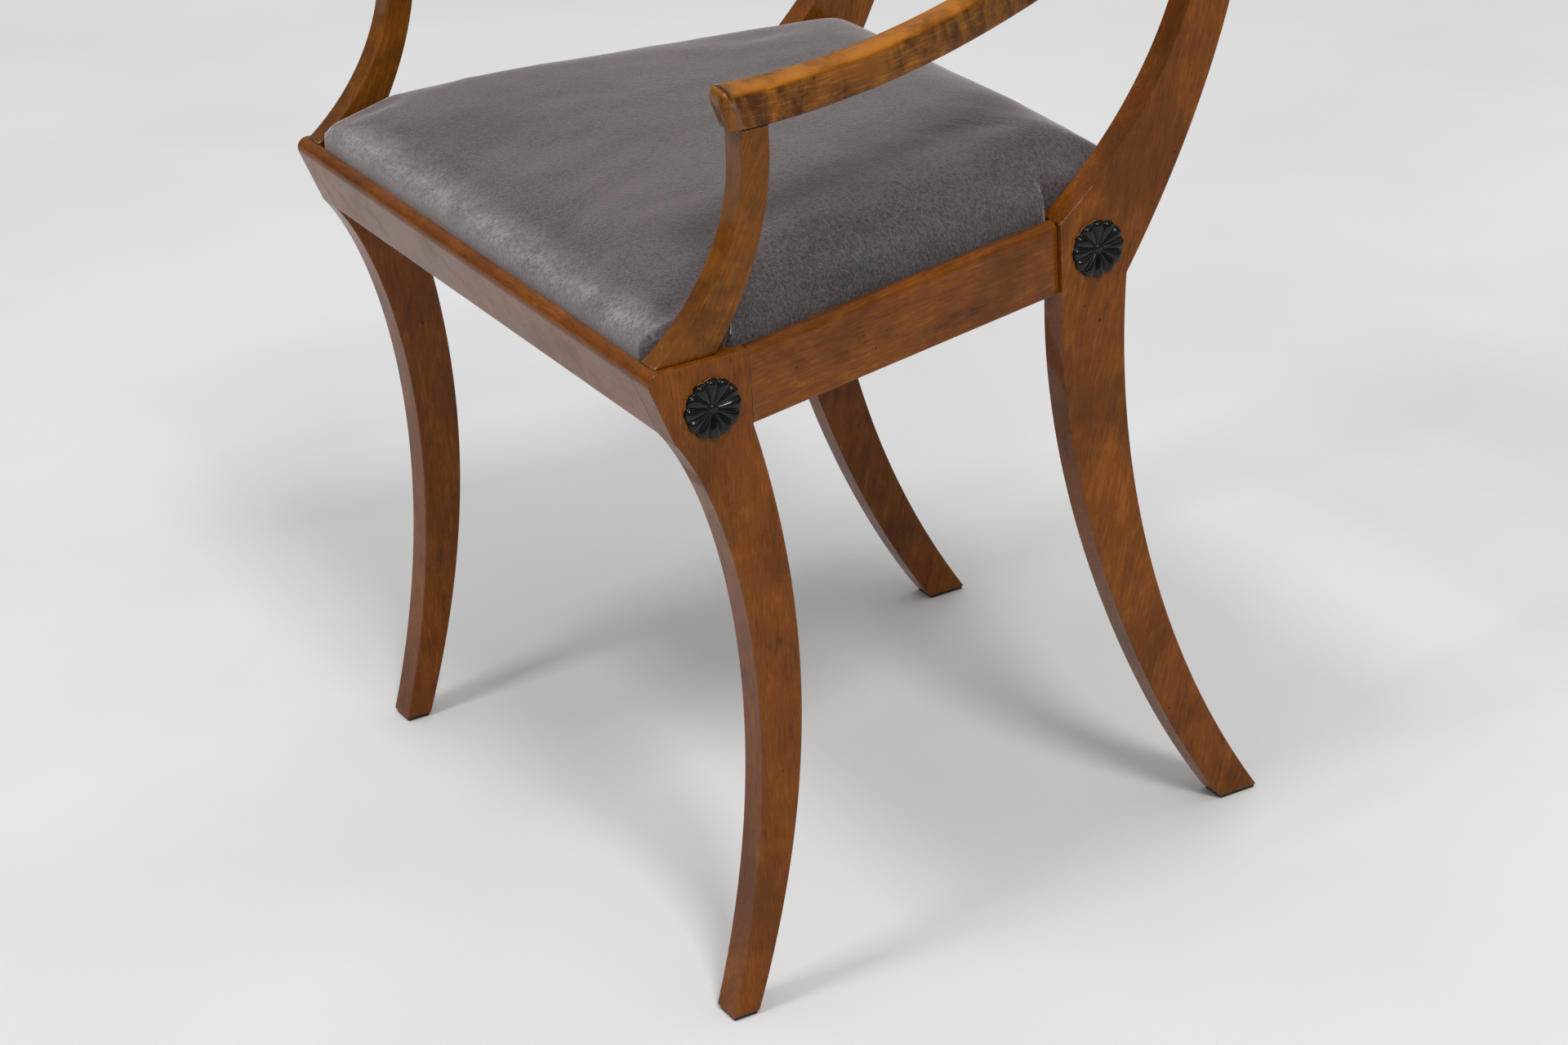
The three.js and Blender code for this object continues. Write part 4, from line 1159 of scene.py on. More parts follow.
@dataclass(frozen=True)
class PaintedFloor(Finish):
    """Pale matt paint of the studio's floor."""

    name: str = "painted_floor"
    grey: float = 0.83
    unevenness: float = 0.03
    speck: tuple[float, ...] = (0.6, 0.6, 0.6, 1)
    clouds: Pattern = Pattern(2.2, 3.0, 0.5)
    specks: Pattern = Pattern(330.0, 4.0, 0.75)
    even: tuple[tuple[str, object], ...] = (("Specular IOR Level", 0.25),)

    def dress(self, tree: Tree, shader: bpy.types.Node) -> None:
        """Adds faint clouds and specks.

        Args:
            tree: The material's tree.
            shader: Its Principled shader.
        """
        place = object_place(tree)
        clouds = tree.noise(place, self.clouds)
        specks = tree.noise(place, self.specks)
        low, high = self.grey - self.unevenness, self.grey + self.unevenness
        colour = tree.mix(tree.remap(clouds, 0.3, 0.7), (low, low, low, 1), (high, high, high, 1))
        colour = tree.mix(tree.remap(specks, 0.55, 0.75, 0, 0.12), colour, self.speck)
        tree.feed(shader.inputs["Base Color"], colour)
        tree.feed(shader.inputs["Roughness"], tree.remap(specks, 0.3, 0.7, 0.55, 0.75))
        tree.feed(shader.inputs["Normal"], tree.bump(specks, 0.4 * MM, 0.35))


BIRCH = StainedWood("stained_birch")
POST_BIRCH = StainedWood(
    "streaked_post_birch",
    light=(0.33, 0.11, 0.0105, 1),
    middle=(0.155, 0.048, 0.0045, 1),
    dark=(0.05, 0.0165, 0.0026, 1),
    figure=0.35,
    figure_scale=38.0,
    stain=0.3,
)
FIGURED_BIRCH = StainedWood(
    "figured_stained_birch",
    light=(0.47, 0.165, 0.015, 1),
    middle=(0.1, 0.031, 0.003, 1),
    dark=(0.03, 0.0098, 0.002, 1),
    figure=0.55,
    figure_scale=46.0,
    stain=0.3,
    flecks=0.4,
    # painted top light on the arms' upper faces
    top_light=0.85,
    edge_stain=0.2,
)
EBONISED = Ebonised()
VELVET = Velvet()
SOFTWOOD = BareWood()
JUTE = Cloth("jute_webbing", thread=(0.4, 0.28, 0.13, 1), gap=(0.18, 0.11, 0.05, 1), threads=480.0)
CANVAS = Cloth("linen_canvas", thread=(0.62, 0.54, 0.4, 1), gap=(0.38, 0.31, 0.2, 1), threads=900.0)
BLACK_CLOTH = Cloth(
    "black_cambric",
    thread=(0.022, 0.021, 0.023, 1),
    gap=(0.008, 0.008, 0.009, 1),
    threads=1100.0,
)
LEATHER = WornLeather()
STEEL = PlainSteel()
FLOOR_PAINT = PaintedFloor()


# Sub-assemblies


@dataclass
class Assembly:
    """A sub-assembly of the chair: its sizes, its pieces and the body they ride on."""

    sizes: FrameSizes
    body: str = "frame"

    def add(self, made: bpy.types.Object, finish: Finish, slot: str, *nodes: str) -> bpy.types.Object:
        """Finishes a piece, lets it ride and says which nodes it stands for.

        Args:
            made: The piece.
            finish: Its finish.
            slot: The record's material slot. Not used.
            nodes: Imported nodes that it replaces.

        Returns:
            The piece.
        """
        finish.put_on(made)
        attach(made, self.body)
        if nodes:
            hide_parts(*nodes)
        LOG.info("%s stands for %s", made.name, ", ".join(nodes) or "nothing packed")
        return made

    def build(self) -> None:
        """Builds and dresses the pieces."""
        raise NotImplementedError


@dataclass
class Legs(Assembly):
    """Sabre legs: front legs with square heads, and rear legs that run on into the stiles."""

    arris: float = 1.0 * MM
    front_foot: float = 29 * MM
    front_foot_depth: float = 19 * MM
    rear_foot: float = 116.5 * MM
    rear_foot_depth: float = 30 * MM
    stile_steps: int = 24
    front_board: int = 3
    rear_board: int = 11

    def front_outline(self) -> Outline:
        """Draws the side view of a front leg.

        Returns:
            The outline.
        """
        s = self.sizes
        at = s.shares(0.0, 0.0, s.head_depth, s.bottom)
        outline = Outline([s.at(self.front_foot, s.glide)])
        outline.line(s.at(self.front_foot + self.front_foot_depth, s.glide))
        outline.curve(at(1.483, 0.393), at(1.436, 0.7), s.at(s.head_depth, s.bottom))
        outline.line(s.at(s.head_depth, s.top))
        nose(outline, s)
        outline.curve(at(0.736, 0.886), at(1.301, 0.505), s.at(self.front_foot, s.glide))
        outline.points.pop()
        return outline

    def rear_outline(self) -> Outline:
        """Draws the side view of a rear leg and its stile.

        Returns:
            The outline.
        """
        s = self.sizes
        low = s.shares(s.rear_leg_front, 0.0, self.rear_foot, s.bottom)
        high = s.shares(s.rear_leg_front, s.top, s.stile_reach, s.stile_height - s.top)
        bend = s.at(s.rear_leg_front + s.rear_head_depth, s.bottom + s.bend_rise)
        tip = s.at(s.rear_leg_front + s.stile_reach + s.stile_head, s.stile_height)
        steps = self.stile_steps
        foot = s.rear_leg_front + self.rear_foot
        head = s.rear_leg_front + s.stile_reach
        outline = Outline([s.at(foot, s.glide)])
        outline.line(s.at(foot + self.rear_foot_depth, s.glide))
        outline.curve(low(0.705, 0.26), low(0.284, 0.61), bend)
        outline.curve(high(0.503, 0.014), high(0.755, 0.196), high(0.871, 0.402), steps)
        outline.curve(high(0.957, 0.583), high(1.055, 0.806), tip, steps)
        outline.line(s.at(head, s.stile_height))
        outline.curve(high(0.89, 0.8), high(0.764, 0.6), high(0.675, 0.402), steps)
        outline.curve(high(0.599, 0.233), high(0.282, 0.081), high(0, 0), steps)
        outline.line(s.at(s.rear_leg_front, s.bottom))
        outline.curve(low(-0.078, 0.645), low(0.481, 0.23), s.at(foot, s.glide))
        outline.points.pop()
        return outline

    def build(self) -> None:
        """Builds two front legs and two rear legs."""
        s = self.sizes
        rail_joint = s.front + s.head_depth
        rear_joint = s.front + s.rear_leg_front

        def front_seam(p: Vector) -> bool:
            """Says whether a point lies in the front leg's joints with the rails."""
            in_rail = abs(abs(p.x) - s.front_inner) < MM and p.y < rail_joint - MM
            return p.z > s.bottom - MM and (in_rail or abs(p.y - rail_joint) < MM)

        def rear_seam(p: Vector) -> bool:
            """Says whether a point lies in the rear leg's joint with the side rail."""
            return abs(p.y - rear_joint) < MM and s.bottom - MM < p.z < s.top + MM

        for seed, side in enumerate(Side):
            points = self.front_outline().points
            leg = board(f"sabre_front_leg_{side.word}", points, s.front_inner, s.front_outer, side)
            lay_grain(leg, *Grain.UPRIGHT.value, seed + self.front_board)
            soften_edges(leg, self.arris, front_seam)
            self.add(leg, BIRCH, "birch", f"front_leg_{side.word}")
            points = self.rear_outline().points
            leg = board(f"sabre_rear_leg_{side.word}", points, s.rear_inner, s.rear_outer, side)
            lay_grain(leg, *Grain.LEANING.value, seed + self.rear_board)
            soften_edges(leg, self.arris, rear_seam)
            self.add(leg, BIRCH, "birch", f"rear_leg_{side.word}")


@dataclass
class SeatRails(Assembly):
    """Rails round the seat, rebated for the drop-in frame."""

    arris: float = 0.9 * MM
    front_back: float = 33.5 * MM
    front_lip: float = 10.5 * MM
    side_thickness: float = 19 * MM
    side_lip: float = 8 * MM
    side_round: float = 5 * MM
    round_steps: int = 8
    front_inset: float = 0.5 * MM
    rear_inset: float = 3.5 * MM
    back_depth: float = 18 * MM
    back_top: float = 392.8 * MM
    front_board: int = 5
    back_board: int = 8
    side_board: int = 20

    def front_rail(self) -> bpy.types.Object:
        """Builds the canted front rail.

        Returns:
            The rail.
        """
        s = self.sizes
        ledge = s.top - s.rebate
        outline = Outline([s.at(s.cant_run, s.bottom)])
        outline.line(s.at(self.front_back, s.bottom), s.at(self.front_back, ledge))
        outline.line(s.at(self.front_lip, ledge), s.at(self.front_lip, s.top))
        nose(outline, s)
        outline.points.pop()
        half = s.front_inner - s.seam
        made = board("canted_front_rail", outline.points, -half, half)
        lay_grain(made, *Grain.SIDEWAYS.value, self.front_board)
        soften_edges(made, self.arris, lambda p: abs(abs(p.x) - half) < MM)
        return made

    def back_rail(self) -> bpy.types.Object:
        """Builds the back rail, whose top is the seat's ledge.

        Returns:
            The rail.
        """
        s = self.sizes
        inner = s.rear_leg_front + s.rear_head_depth - self.back_depth
        bend = s.rear_leg_front + s.rear_head_depth - s.seam
        outline = Outline([s.at(inner, s.bottom), s.at(bend, s.bottom), s.at(bend, s.bottom + s.bend_rise)])
        outline.line(s.at(self.back_top - s.seam, s.top - s.rebate), s.at(inner, s.top - s.rebate))
        half = s.rear_inner - s.seam
        made = board("back_seat_rail", outline.points, -half, half)
        lay_grain(made, *Grain.SIDEWAYS.value, self.back_board)
        soften_edges(made, self.arris, lambda p: abs(abs(p.x) - half) < MM)
        return made

    def side_rail(self, side: Side) -> bpy.types.Object:
        """Builds one side rail, which runs inward to the rear.

        Args:
            side: Side of the chair.

        Returns:
            The rail.
        """
        s = self.sizes
        front = s.front + s.head_depth + s.seam
        back = s.front + s.rear_leg_front - s.seam
        x_front = s.front_outer - self.front_inset
        x_back = s.rear_outer - self.rear_inset
        angle = math.atan2(x_front - x_back, s.rear_leg_front - s.head_depth)
        ledge = s.top - s.rebate
        section = [(0.0, s.bottom), (0.0, s.top - self.side_round)]
        for i in range(1, self.round_steps + 1):
            turn = math.pi / 2 * i / self.round_steps
            inset = self.side_round * (1 - math.cos(turn))
            section.append((inset, s.top - self.side_round * (1 - math.sin(turn))))
        section += [(self.side_lip, s.top), (self.side_lip, ledge), (self.side_thickness, ledge)]
        section.append((self.side_thickness, s.bottom))
        rings = []
        for y in (front, back):
            x = x_front - (y - s.front - s.head_depth) * math.tan(angle)
            rings.append([Vector((x - inset / math.cos(angle), y, z)) for inset, z in section])
        bm = bmesh.new()
        ends = [[bm.verts.new(p) for p in ring] for ring in rings]
        bm.faces.new(ends[0])
        bm.faces.new(ends[1])
        for i in range(len(section)):
            k = (i + 1) % len(section)
            bm.faces.new((ends[0][i], ends[0][k], ends[1][k], ends[1][i]))
        made = piece_from(f"rebated_side_rail_{side.word}", bm, side)
        along = Vector((-side.value * math.sin(angle), math.cos(angle), 0))
        lay_grain(made, along, Vector((0, 0, 1)), self.side_board + side.value)
        soften_edges(made, self.arris, lambda p: min(abs(p.y - front), abs(p.y - back)) < MM)
        return made

    def build(self) -> None:
        """Builds the four rails."""
        self.add(self.front_rail(), BIRCH, "birch", "front_rail")
        self.add(self.back_rail(), BIRCH, "birch", "back_rail")
        for side in Side:
            self.add(self.side_rail(side), BIRCH, "birch", f"side_rail_{side.word}")


@dataclass
class Arms(Assembly):
    """Leaning arm posts and the curved arms that run back to the stiles."""

    post_height: float = 133 * MM
    post_thickness: float = 17 * MM
    post_flare: float = 3.4 * MM
    post_swell: float = 1.6 * MM
    post_set: float = 9.5 * MM
    post_foot: float = 42 * MM
    post_reach: float = 66 * MM
    post_arris: float = 1.5 * MM
    post_inset: float = 0.1 * MM
    post_steps: int = 30
    post_board: int = 30
    arm_height: float = 24.5 * MM
    front_width: float = 19 * MM
    rear_width: float = 18 * MM
    front_set: float = 67 * MM
    front_x: float = 239.5 * MM
    meet_height: float = 661.4 * MM
    meet_depth: float = 450.8 * MM
    pulls: tuple[tuple[float, float, float], ...] = ((0.235, 0.333, -0.03), (-0.904, 0.667, 0.3))
    end_lean: float = 8.4 * MM
    lean_fade: int = 8
    end_width: float = 3.4 * MM
    width_fade: int = 5
    top_round: float = 5 * MM
    under_round: float = 2.5 * MM
    end_round: float = 5 * MM
    end_steps: int = 6
    arm_steps: int = 90
    arm_length: float = 0.42

    def post(self, side: Side) -> bpy.types.Object:
        """Builds one arm post.

        Args:
            side: Side of the chair.

        Returns:
            The post.
        """
        s = self.sizes
        foot = s.top + s.seam
        head = s.top + self.post_height - s.seam
        at = s.shares(self.post_set, s.top, self.post_reach, self.post_height)
        outline = Outline([s.at(self.post_set, foot), s.at(self.post_set + self.post_foot, foot)])
        outline.curve(at(0.94, 0.233), at(1.242, 0.564), at(1.242, 0.925), self.post_steps)
        outline.line((at(1.242, 1)[0], head), (at(1, 1)[0], head), at(1, 0.872))
        outline.curve(at(1, 0.511), at(0.56, 0.195), s.at(self.post_set, foot), self.post_steps)
        outline.points.pop()
        rear_edge = range(1, self.post_steps + 3)  # the foot's rear corner, the curve and the head's corner
        for i, (y, z) in enumerate(outline.points):
            outline.points[i] = (y + (1 if i in rear_edge else -1) * self.post_swell * self.grown(z), z)
        inner, outer = s.front_inner + self.post_inset, s.front_inner + self.post_thickness
        made = board(f"arm_support_{side.word}", outline.points, inner, outer, side)
        self.flare(made, side)
        lay_grain(made, *Grain.RAKED.value, self.post_board + side.value)
        soften_edges(made, self.post_arris, lambda p: p.z < foot + MM or p.z > head - MM)
        return made

    def grown(self, height: float) -> float:
        """Share of a post's growth that it has reached at a height."""
        share = min(1.0, max(0.0, (height - self.sizes.top) / self.post_height))
        return share * (2 - share)

    def flare(self, post: bpy.types.Object, side: Side) -> None:
        """Thickens a post outward towards its top.

        Args:
            post: The post.
            side: Its side of the chair.
        """
        middle = self.sizes.front_inner + self.post_thickness / 2
        for v in post.data.vertices:
            if abs(v.co.x) > middle:
                v.co.x += side.value * self.post_flare * self.grown(v.co.z)

    def course(self, t: float) -> tuple[Vector, Vector]:
        """Follows the arm's centre line.

        Args:
            t: Share of the way from the front end.

        Returns:
            The point there and the line's direction.
        """
        s = self.sizes
        head = s.top + self.post_height
        start = Vector((self.front_x, s.front + self.front_set, head + self.arm_height / 2))
        end = Vector(((s.rear_inner + s.rear_outer) / 2, s.front + self.meet_depth, self.meet_height))
        reach = end - start
        near, far = (
            Vector((start.x - a * reach.x, start.y + b * reach.y, start.z + c * reach.z))
            for a, b, c in self.pulls
        )
        u = 1 - t
        centre = start * u**3 + near * 3 * u * u * t + far * 3 * u * t * t + end * t**3
        along = (near - start) * 3 * u * u + (far - near) * 6 * u * t + (end - far) * 3 * t * t
        return centre, along.normalized()

    def arm(self, side: Side) -> bpy.types.Object:
        """Builds one arm as a loft of rounded sections.

        Args:
            side: Side of the chair.

        Returns:
            The arm.
        """
        rings: Rings = []
        places: list[Vector] = []
        turns = [math.pi / 2 * i / self.end_steps for i in range(self.end_steps)]
        rounding = self.end_round
        stations = [(0.0, rounding * (1 - math.sin(a)), rounding * (1 - math.cos(a))) for a in turns]
        stations.append((0.0, 0.0, rounding))
        stations += [(i / self.arm_steps, 0.0, 0.0) for i in range(1, self.arm_steps + 1)]
        for t, inset, push in stations:
            centre, along = self.course(t)
            across = along.cross(Vector((0, 0, 1))).normalized()
            up = across.cross(along)
            growth = self.end_width * max(0.0, 1 - t * self.width_fade)
            width = self.front_width + (self.rear_width - self.front_width) * t - 2 * inset + growth
            lean = self.end_lean * max(0.0, 1 - t * self.lean_fade)
            top = max(self.top_round - inset, MM)
            under = max(self.under_round - inset / 2, MM)
            section = rounded_section(width, self.arm_height - 2 * inset, top, under)
            wide = growth / 2
            rings.append([
                centre + across * (a + wide) + up * (b - inset) + along * (push - lean * b / self.arm_height)
                for a, b in section
            ])
            places += [Vector((b, a, t * self.arm_length + push)) for a, b in section]
        made = loft(f"curved_arm_{side.word}", rings, side)
        shift = Vector((3.3 + side.value, 1.9, 4.4 * side.value))
        ends = [Vector((0, 0, 0)), Vector((0, 0, self.arm_length))]
        store_vector(made, "grain", [p + shift for p in places + ends])
        return made

    def build(self) -> None:
        """Builds both posts and both arms."""
        for side in Side:
            self.add(self.post(side), POST_BIRCH, "birch", f"arm_post_{side.word}")
            self.add(self.arm(side), FIGURED_BIRCH, "figured_birch", f"arm_{side.word}")


@dataclass(frozen=True)
class BowedRail:
    """Sizes of one bowed rail: the place of its middle, its section, and what it loses at its ends."""

    middle: Point2
    height: float
    thickness: float
    rounding: float
    drop: float
    board: int


@dataclass
class Back(Assembly):
    """Curved crest rail lapped on the stiles, and the cross rail below it."""

    bow_radius: float = 430 * MM
    lean: float = 0.22175
    crest_half: float = 228 * MM
    crest: BowedRail = BowedRail((520.919 * MM, 812 * MM), 92 * MM, 18 * MM, 5 * MM, 0.16, 3)
    cross: BowedRail = BowedRail((485.038 * MM, 621.902 * MM), 34 * MM, 14 * MM, 4 * MM, 0.0, 6)
    steps: int = 64
    end_steps: int = 5
    drop_turn: int = 6
    least_round: float = 0.3 * MM

    def bowed(self, name: str, rail: BowedRail, half: float) -> bpy.types.Object:
        """Builds one bowed rail that leans with the stiles.

        Args:
            name: Name of the piece.
            rail: Its sizes.
            half: Half its width.

        Returns:
            The rail.
        """
        depth, tall = self.sizes.front + rail.middle[0], rail.middle[1]
        rounding, seed = rail.rounding, rail.board
        rings: Rings = []
        places: list[Vector] = []
        steps = self.steps
        quarter = [math.pi / 2 * i / self.end_steps for i in range(self.end_steps)]
        ends = [(-1.0, rounding * (1 - math.sin(a)), rounding * (1 - math.cos(a))) for a in quarter]
        stations = ends + [(math.sin((i / steps - 0.5) * math.pi), 0.0, 0.0) for i in range(steps + 1)]
        stations[len(ends)] = (-1.0, 0.0, rounding)
        stations[-1] = (1.0, 0.0, rounding)
        stations += [(1.0, inset, push) for _, inset, push in reversed(ends)]
        for share, inset, push in stations:
            x = half * share - math.copysign(push, share)
            slant = math.sqrt(1 - (x / self.bow_radius) ** 2)
            bow = self.bow_radius * (1 - slant)
            face = rail.height * (1 - rail.drop * abs(x / half) ** self.drop_turn) - 2 * inset
            corner = max(rounding - inset, self.least_round)
            section = rounded_section(rail.thickness / slant - 2 * inset, face, corner, corner)
            rings.append([Vector((x, depth - bow + a + b * self.lean, tall + b)) for a, b in section])
            places += [Vector((b, a, x)) for a, b in section]
        made = loft(name, rings)
        shift = Vector((seed * 1.1, seed * 0.7, seed * 2.3))
        places += [Vector((0, 0, -half)), Vector((0, 0, half))]
        store_vector(made, "grain", [p + shift for p in places])
        return made

    def build(self) -> None:
        """Builds the crest rail and the cross rail."""
        crest = self.bowed("bowed_crest_rail", self.crest, self.crest_half)
        self.add(crest, FIGURED_BIRCH, "figured_birch", "crest_rail")
        cross = self.bowed("bowed_cross_rail", self.cross, self.sizes.rear_inner - self.sizes.seam)
        self.add(cross, BIRCH, "birch", "cross_rail")


@dataclass
class Rosettes(Assembly):
    """Carved rosettes on the outer faces of the leg heads."""

    radius: float = 19 * MM
    rise: float = 4.5 * MM
    petals: int = 12
    petal_steps: int = 14
    fullness: float = 0.62
    scallop: float = 0.08
    groove: float = 0.55
    groove_reach: float = 0.3
    lift_share: float = 0.2
    # rings at the base with the pale rim: bare wood and painted highlight
    bare_highlight_rings: int = 2
    profile: tuple[Point2, ...] = (
        (1.0, 0.0), (1.0, 0.12), (0.998, 0.24), (0.985, 0.5), (0.955, 0.74), (0.91, 0.9), (0.85, 0.985),
        (0.77, 1.0), (0.67, 0.965), (0.56, 0.88), (0.45, 0.77), (0.34, 0.64), (0.25, 0.52), (0.19, 0.42),
    )
    button: tuple[Point2, ...] = ((0.165, 0.36), (0.15, 0.5), (0.125, 0.62), (0.08, 0.7), (0.03, 0.72))
    front_set: float = 43 * MM
    front_drop: float = 30 * MM
    rear_set: float = 26.5 * MM
    rear_drop: float = 22 * MM

    def rosette(self, name: str, centre: tuple[float, float, float], side: Side) -> bpy.types.Object:
        """Builds one rosette on a leg's outer face.

        Args:
            name: Name of the piece.
            centre: Middle of its back.
            side: Side of the chair.

        Returns:
            The rosette.
        """
        x, y, z = centre
        around = self.petals * self.petal_steps
        angles = [i / around * 2 * math.pi for i in range(around)]
        rings: Rings = []
        for reach, height in self.profile:
            ring = []
            for angle in angles:
                petal = abs(math.cos(angle * self.petals / 2)) ** self.fullness
                groove = 1 - self.groove * (1 - petal) * min(1.0, reach / self.groove_reach)
                radius = self.radius * reach * (1 - self.scallop * (1 - petal) * reach**2)
                up = self.sizes.seam * self.lift_share + self.rise * height * groove
                ring.append(Vector((x + up, y + radius * math.cos(angle), z + radius * math.sin(angle))))
            rings.append(ring)
        for reach, height in self.button:
            up, radius = self.rise * height, self.radius * reach
            rings.append([
                Vector((x + up, y + radius * math.cos(a), z + radius * math.sin(a))) for a in angles
            ])
        made = loft(name, rings, side)
        # The base rings get the pale rim: bare wood and a painted highlight.
        bare_highlight = around * self.bare_highlight_rings
        store_value(made, "rim", [1.0] * bare_highlight + [0.0] * (len(made.data.vertices) - bare_highlight))
        return made

    def build(self) -> None:
        """Builds the four rosettes."""
        s = self.sizes
        for side in Side:
            places = {
                "front": (s.front_outer, s.front + self.front_set, s.top - self.front_drop),
                "rear": (s.rear_outer, s.front + s.rear_leg_front + self.rear_set, s.top - self.rear_drop),
            }
            for end, centre in places.items():
                made = self.rosette(f"carved_{end}_rosette_{side.word}", centre, side)
                self.add(made, EBONISED, "ebonised", f"{end}_rosette_{side.word}")


@dataclass
class Glides(Assembly):
    """Thin leather pads under the feet."""

    rounding: float = 0.7 * MM
    rise: float = 0.2 * MM
    steps: int = 6

    def pad(self, name: str, node: str) -> bpy.types.Object:
        """Builds a pad with soft edges in the place of a packed glide.

        Args:
            name: Name of the piece.
            node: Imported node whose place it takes.

        Returns:
            The pad.
        """
        low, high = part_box(node)
        middle, size = (low + high) / 2, high - low
        bm = bmesh.new()
        bmesh.ops.create_grid(bm, x_segments=self.steps, y_segments=self.steps, size=0.5)
        for v in bm.verts:
            v.co = Vector((middle.x + v.co.x * size.x, middle.y + v.co.y * size.y, 0))
        raised = bmesh.ops.extrude_face_region(bm, geom=bm.faces[:])
        for v in raised["geom"]:
            if isinstance(v, bmesh.types.BMVert):
                v.co.z = self.sizes.glide + self.rise
        made = piece_from(name, bm)
        soften_edges(made, self.rounding, segments=2)
        return made

    def build(self) -> None:
        """Builds the four pads."""
        for end in ("front", "rear"):
            for side in Side:
                node = f"{end}_glide_{side.word}"
                self.add(self.pad(f"glide_pad_{end}_{side.word}", node), LEATHER, "leather", node)


def nearest(points: Sequence[Vector]) -> kdtree.KDTree:
    """Makes a tree that finds the nearest of some points.

    Args:
        points: The points.

    Returns:
        The tree, ready to search.
    """
    tree = kdtree.KDTree(len(points))
    for i, p in enumerate(points):
        tree.insert(p, i)
    tree.balance()
    return tree


@dataclass
class SeatPad(Assembly):
    """Velvet pad of the drop-in seat, crowned and rolled at its edges."""

    body: str = "seat"
    # Plan
    gap: float = 1.5 * MM
    lip_front: float = 10.5 * MM
    side_x_front: float = 252.5 * MM
    side_x_rear: float = 194.5 * MM
    side_inset: float = 9.5 * MM
    notch_back: float = 59.5 * MM
    back: float = 394.8 * MM
    corner: float = 5 * MM
    notch_corner: float = 4 * MM
    side_corner: float = 5 * MM
    stile_corner: float = 3 * MM
    corner_room: float = 2.2
    corner_steps: int = 8
    step: float = 2.6 * MM
    # Profile
    edge_height: float = 37 * MM
    edge_gain: float = 7 * MM
    edge_low: float = 5 * MM
    hem_height: float = 7 * MM
    hem_roll: float = 8 * MM
    hem_tight: float = 12.0
    roll: float = 53 * MM
    roll_fill: float = 1.1
    roll_tight: float = 8.0
    front_slack: float = 0.28
    notch_roll: float = 4 * MM
    notch_fall: float = 6 * MM
    crown: float = 4.5 * MM
    crown_turn: float = 2.2
    squareness: int = 4
    # Rings
    hem_starts: tuple[float, float] = (-10 * MM, -4 * MM)
    rim_rings: int = 16
    rim_share: float = 0.2
    rim_crowding: float = 1.6
    inner_rings: int = 32
    inner_crowding: float = 0.94
    calm_start: float = 0.97
    calm_span: float = 0.45
    # Rim lightened as brushed pile and painted sheen
    worn: float = 30 * MM
    rim_fall: float = 1.3
    side_rim: float = 0.1
    edge_wear_highlight: float = 0.2
    edge_band: float = 9 * MM
    # Room for the leaning posts
    lean: float = 0.404
    lean_band: float = 2 * MM
    lean_depth: float = 160 * MM
    # Stuffing
    even_below: float = 8 * MM
    lump: float = 1.5 * MM
    lump_scale: float = 9
    ripple: float = 0.5 * MM
    ripple_scale: float = 36
    ripple_shift: tuple[float, float, float] = (3, 1, 7)
    pleat: float = 0.8 * MM
    pleat_width: float = 2.4 * MM
    pleat_middle: float = 9 * MM
    pleat_half: float = 14 * MM
    # Pressed cover
    trial_step: float = 5 * MM
    pressure: float = 4.0
    frames: int = 20
    held_above: float = 2 * MM
    neighbours: int = 16
    press_rise: float = 12 * MM
    press_aside: float = 0.5
    most_moved: float = 1.5 * MM
    fill: float = 0.8

    def side_x(self, y: float) -> float:
        """Says how far out the pad's side edge is.

        Args:
            y: Depth at which it is asked.

        Returns:
            Its distance from the chair's middle.
        """
        taper = self.taper()
        out = self.side_x_front - (y - self.sizes.head_depth) * taper
        return out - self.side_inset * math.sqrt(1 + taper * taper)

    def taper(self) -> float:
        """How much the sides run in for each length of depth."""
        return (self.side_x_front - self.side_x_rear) / (self.sizes.rear_leg_front - self.sizes.head_depth)

    def corners(self) -> list[tuple[float, float, float]]:
        """Lists half the corners of the pad's plan, from the front middle round the left.

        Returns:
            The x, the depth and the rounding of each corner.
        """
        s = self.sizes
        post = s.front_inner - self.gap
        stile = s.rear_inner - self.gap
        stile_front = s.rear_leg_front - self.gap
        return [
            (post, self.lip_front + self.gap, self.corner),
            (post, self.notch_back, self.notch_corner),
            (self.side_x(self.notch_back), self.notch_back, self.side_corner),
            (self.side_x(stile_front), stile_front, self.side_corner),
            (stile, stile_front, self.stile_corner),
            (stile, self.back, self.corner),
        ]

    def plan_line(self) -> list[Vector]:
        """Draws the pad's whole plan with its corners rounded.

        Returns:
            The closed line's points as x and depth.
        """
        left = self.corners()
        corners = left + [(-x, y, r) for x, y, r in reversed(left)]
        line: list[Vector] = []
        for i, (x, y, radius) in enumerate(corners):
            here = Vector((x, y))
            before = Vector(corners[i - 1][:2]) - here
            after = Vector(corners[(i + 1) % len(corners)][:2]) - here
            reach = min(radius, before.length / self.corner_room, after.length / self.corner_room)
            a = here + before.normalized() * reach
            b = here + after.normalized() * reach
            for k in range(self.corner_steps + 1):
                t = k / self.corner_steps
                line.append(a * (1 - t) ** 2 + here * 2 * t * (1 - t) + b * t * t)
        return line

    def plan(self, step: float) -> list[Point2]:
        """Spaces points evenly along the pad's plan.

        Args:
            step: Distance between them.

        Returns:
            The points as x and depth.
        """
        line = self.plan_line()
        even: list[Point2] = []
        spans = [(line[(i + 1) % len(line)] - p).length for i, p in enumerate(line)]
        total = sum(spans)
        count = round(total / step)
        walked, k = 0.0, 0
        for i in range(count):
            want = total * i / count
            while walked + spans[k] < want:
                walked += spans[k]
                k += 1
            share = (want - walked) / max(spans[k], 1e-9)
            p = line[k].lerp(line[(k + 1) % len(line)], share)
            even.append((p.x, p.y))
        return even

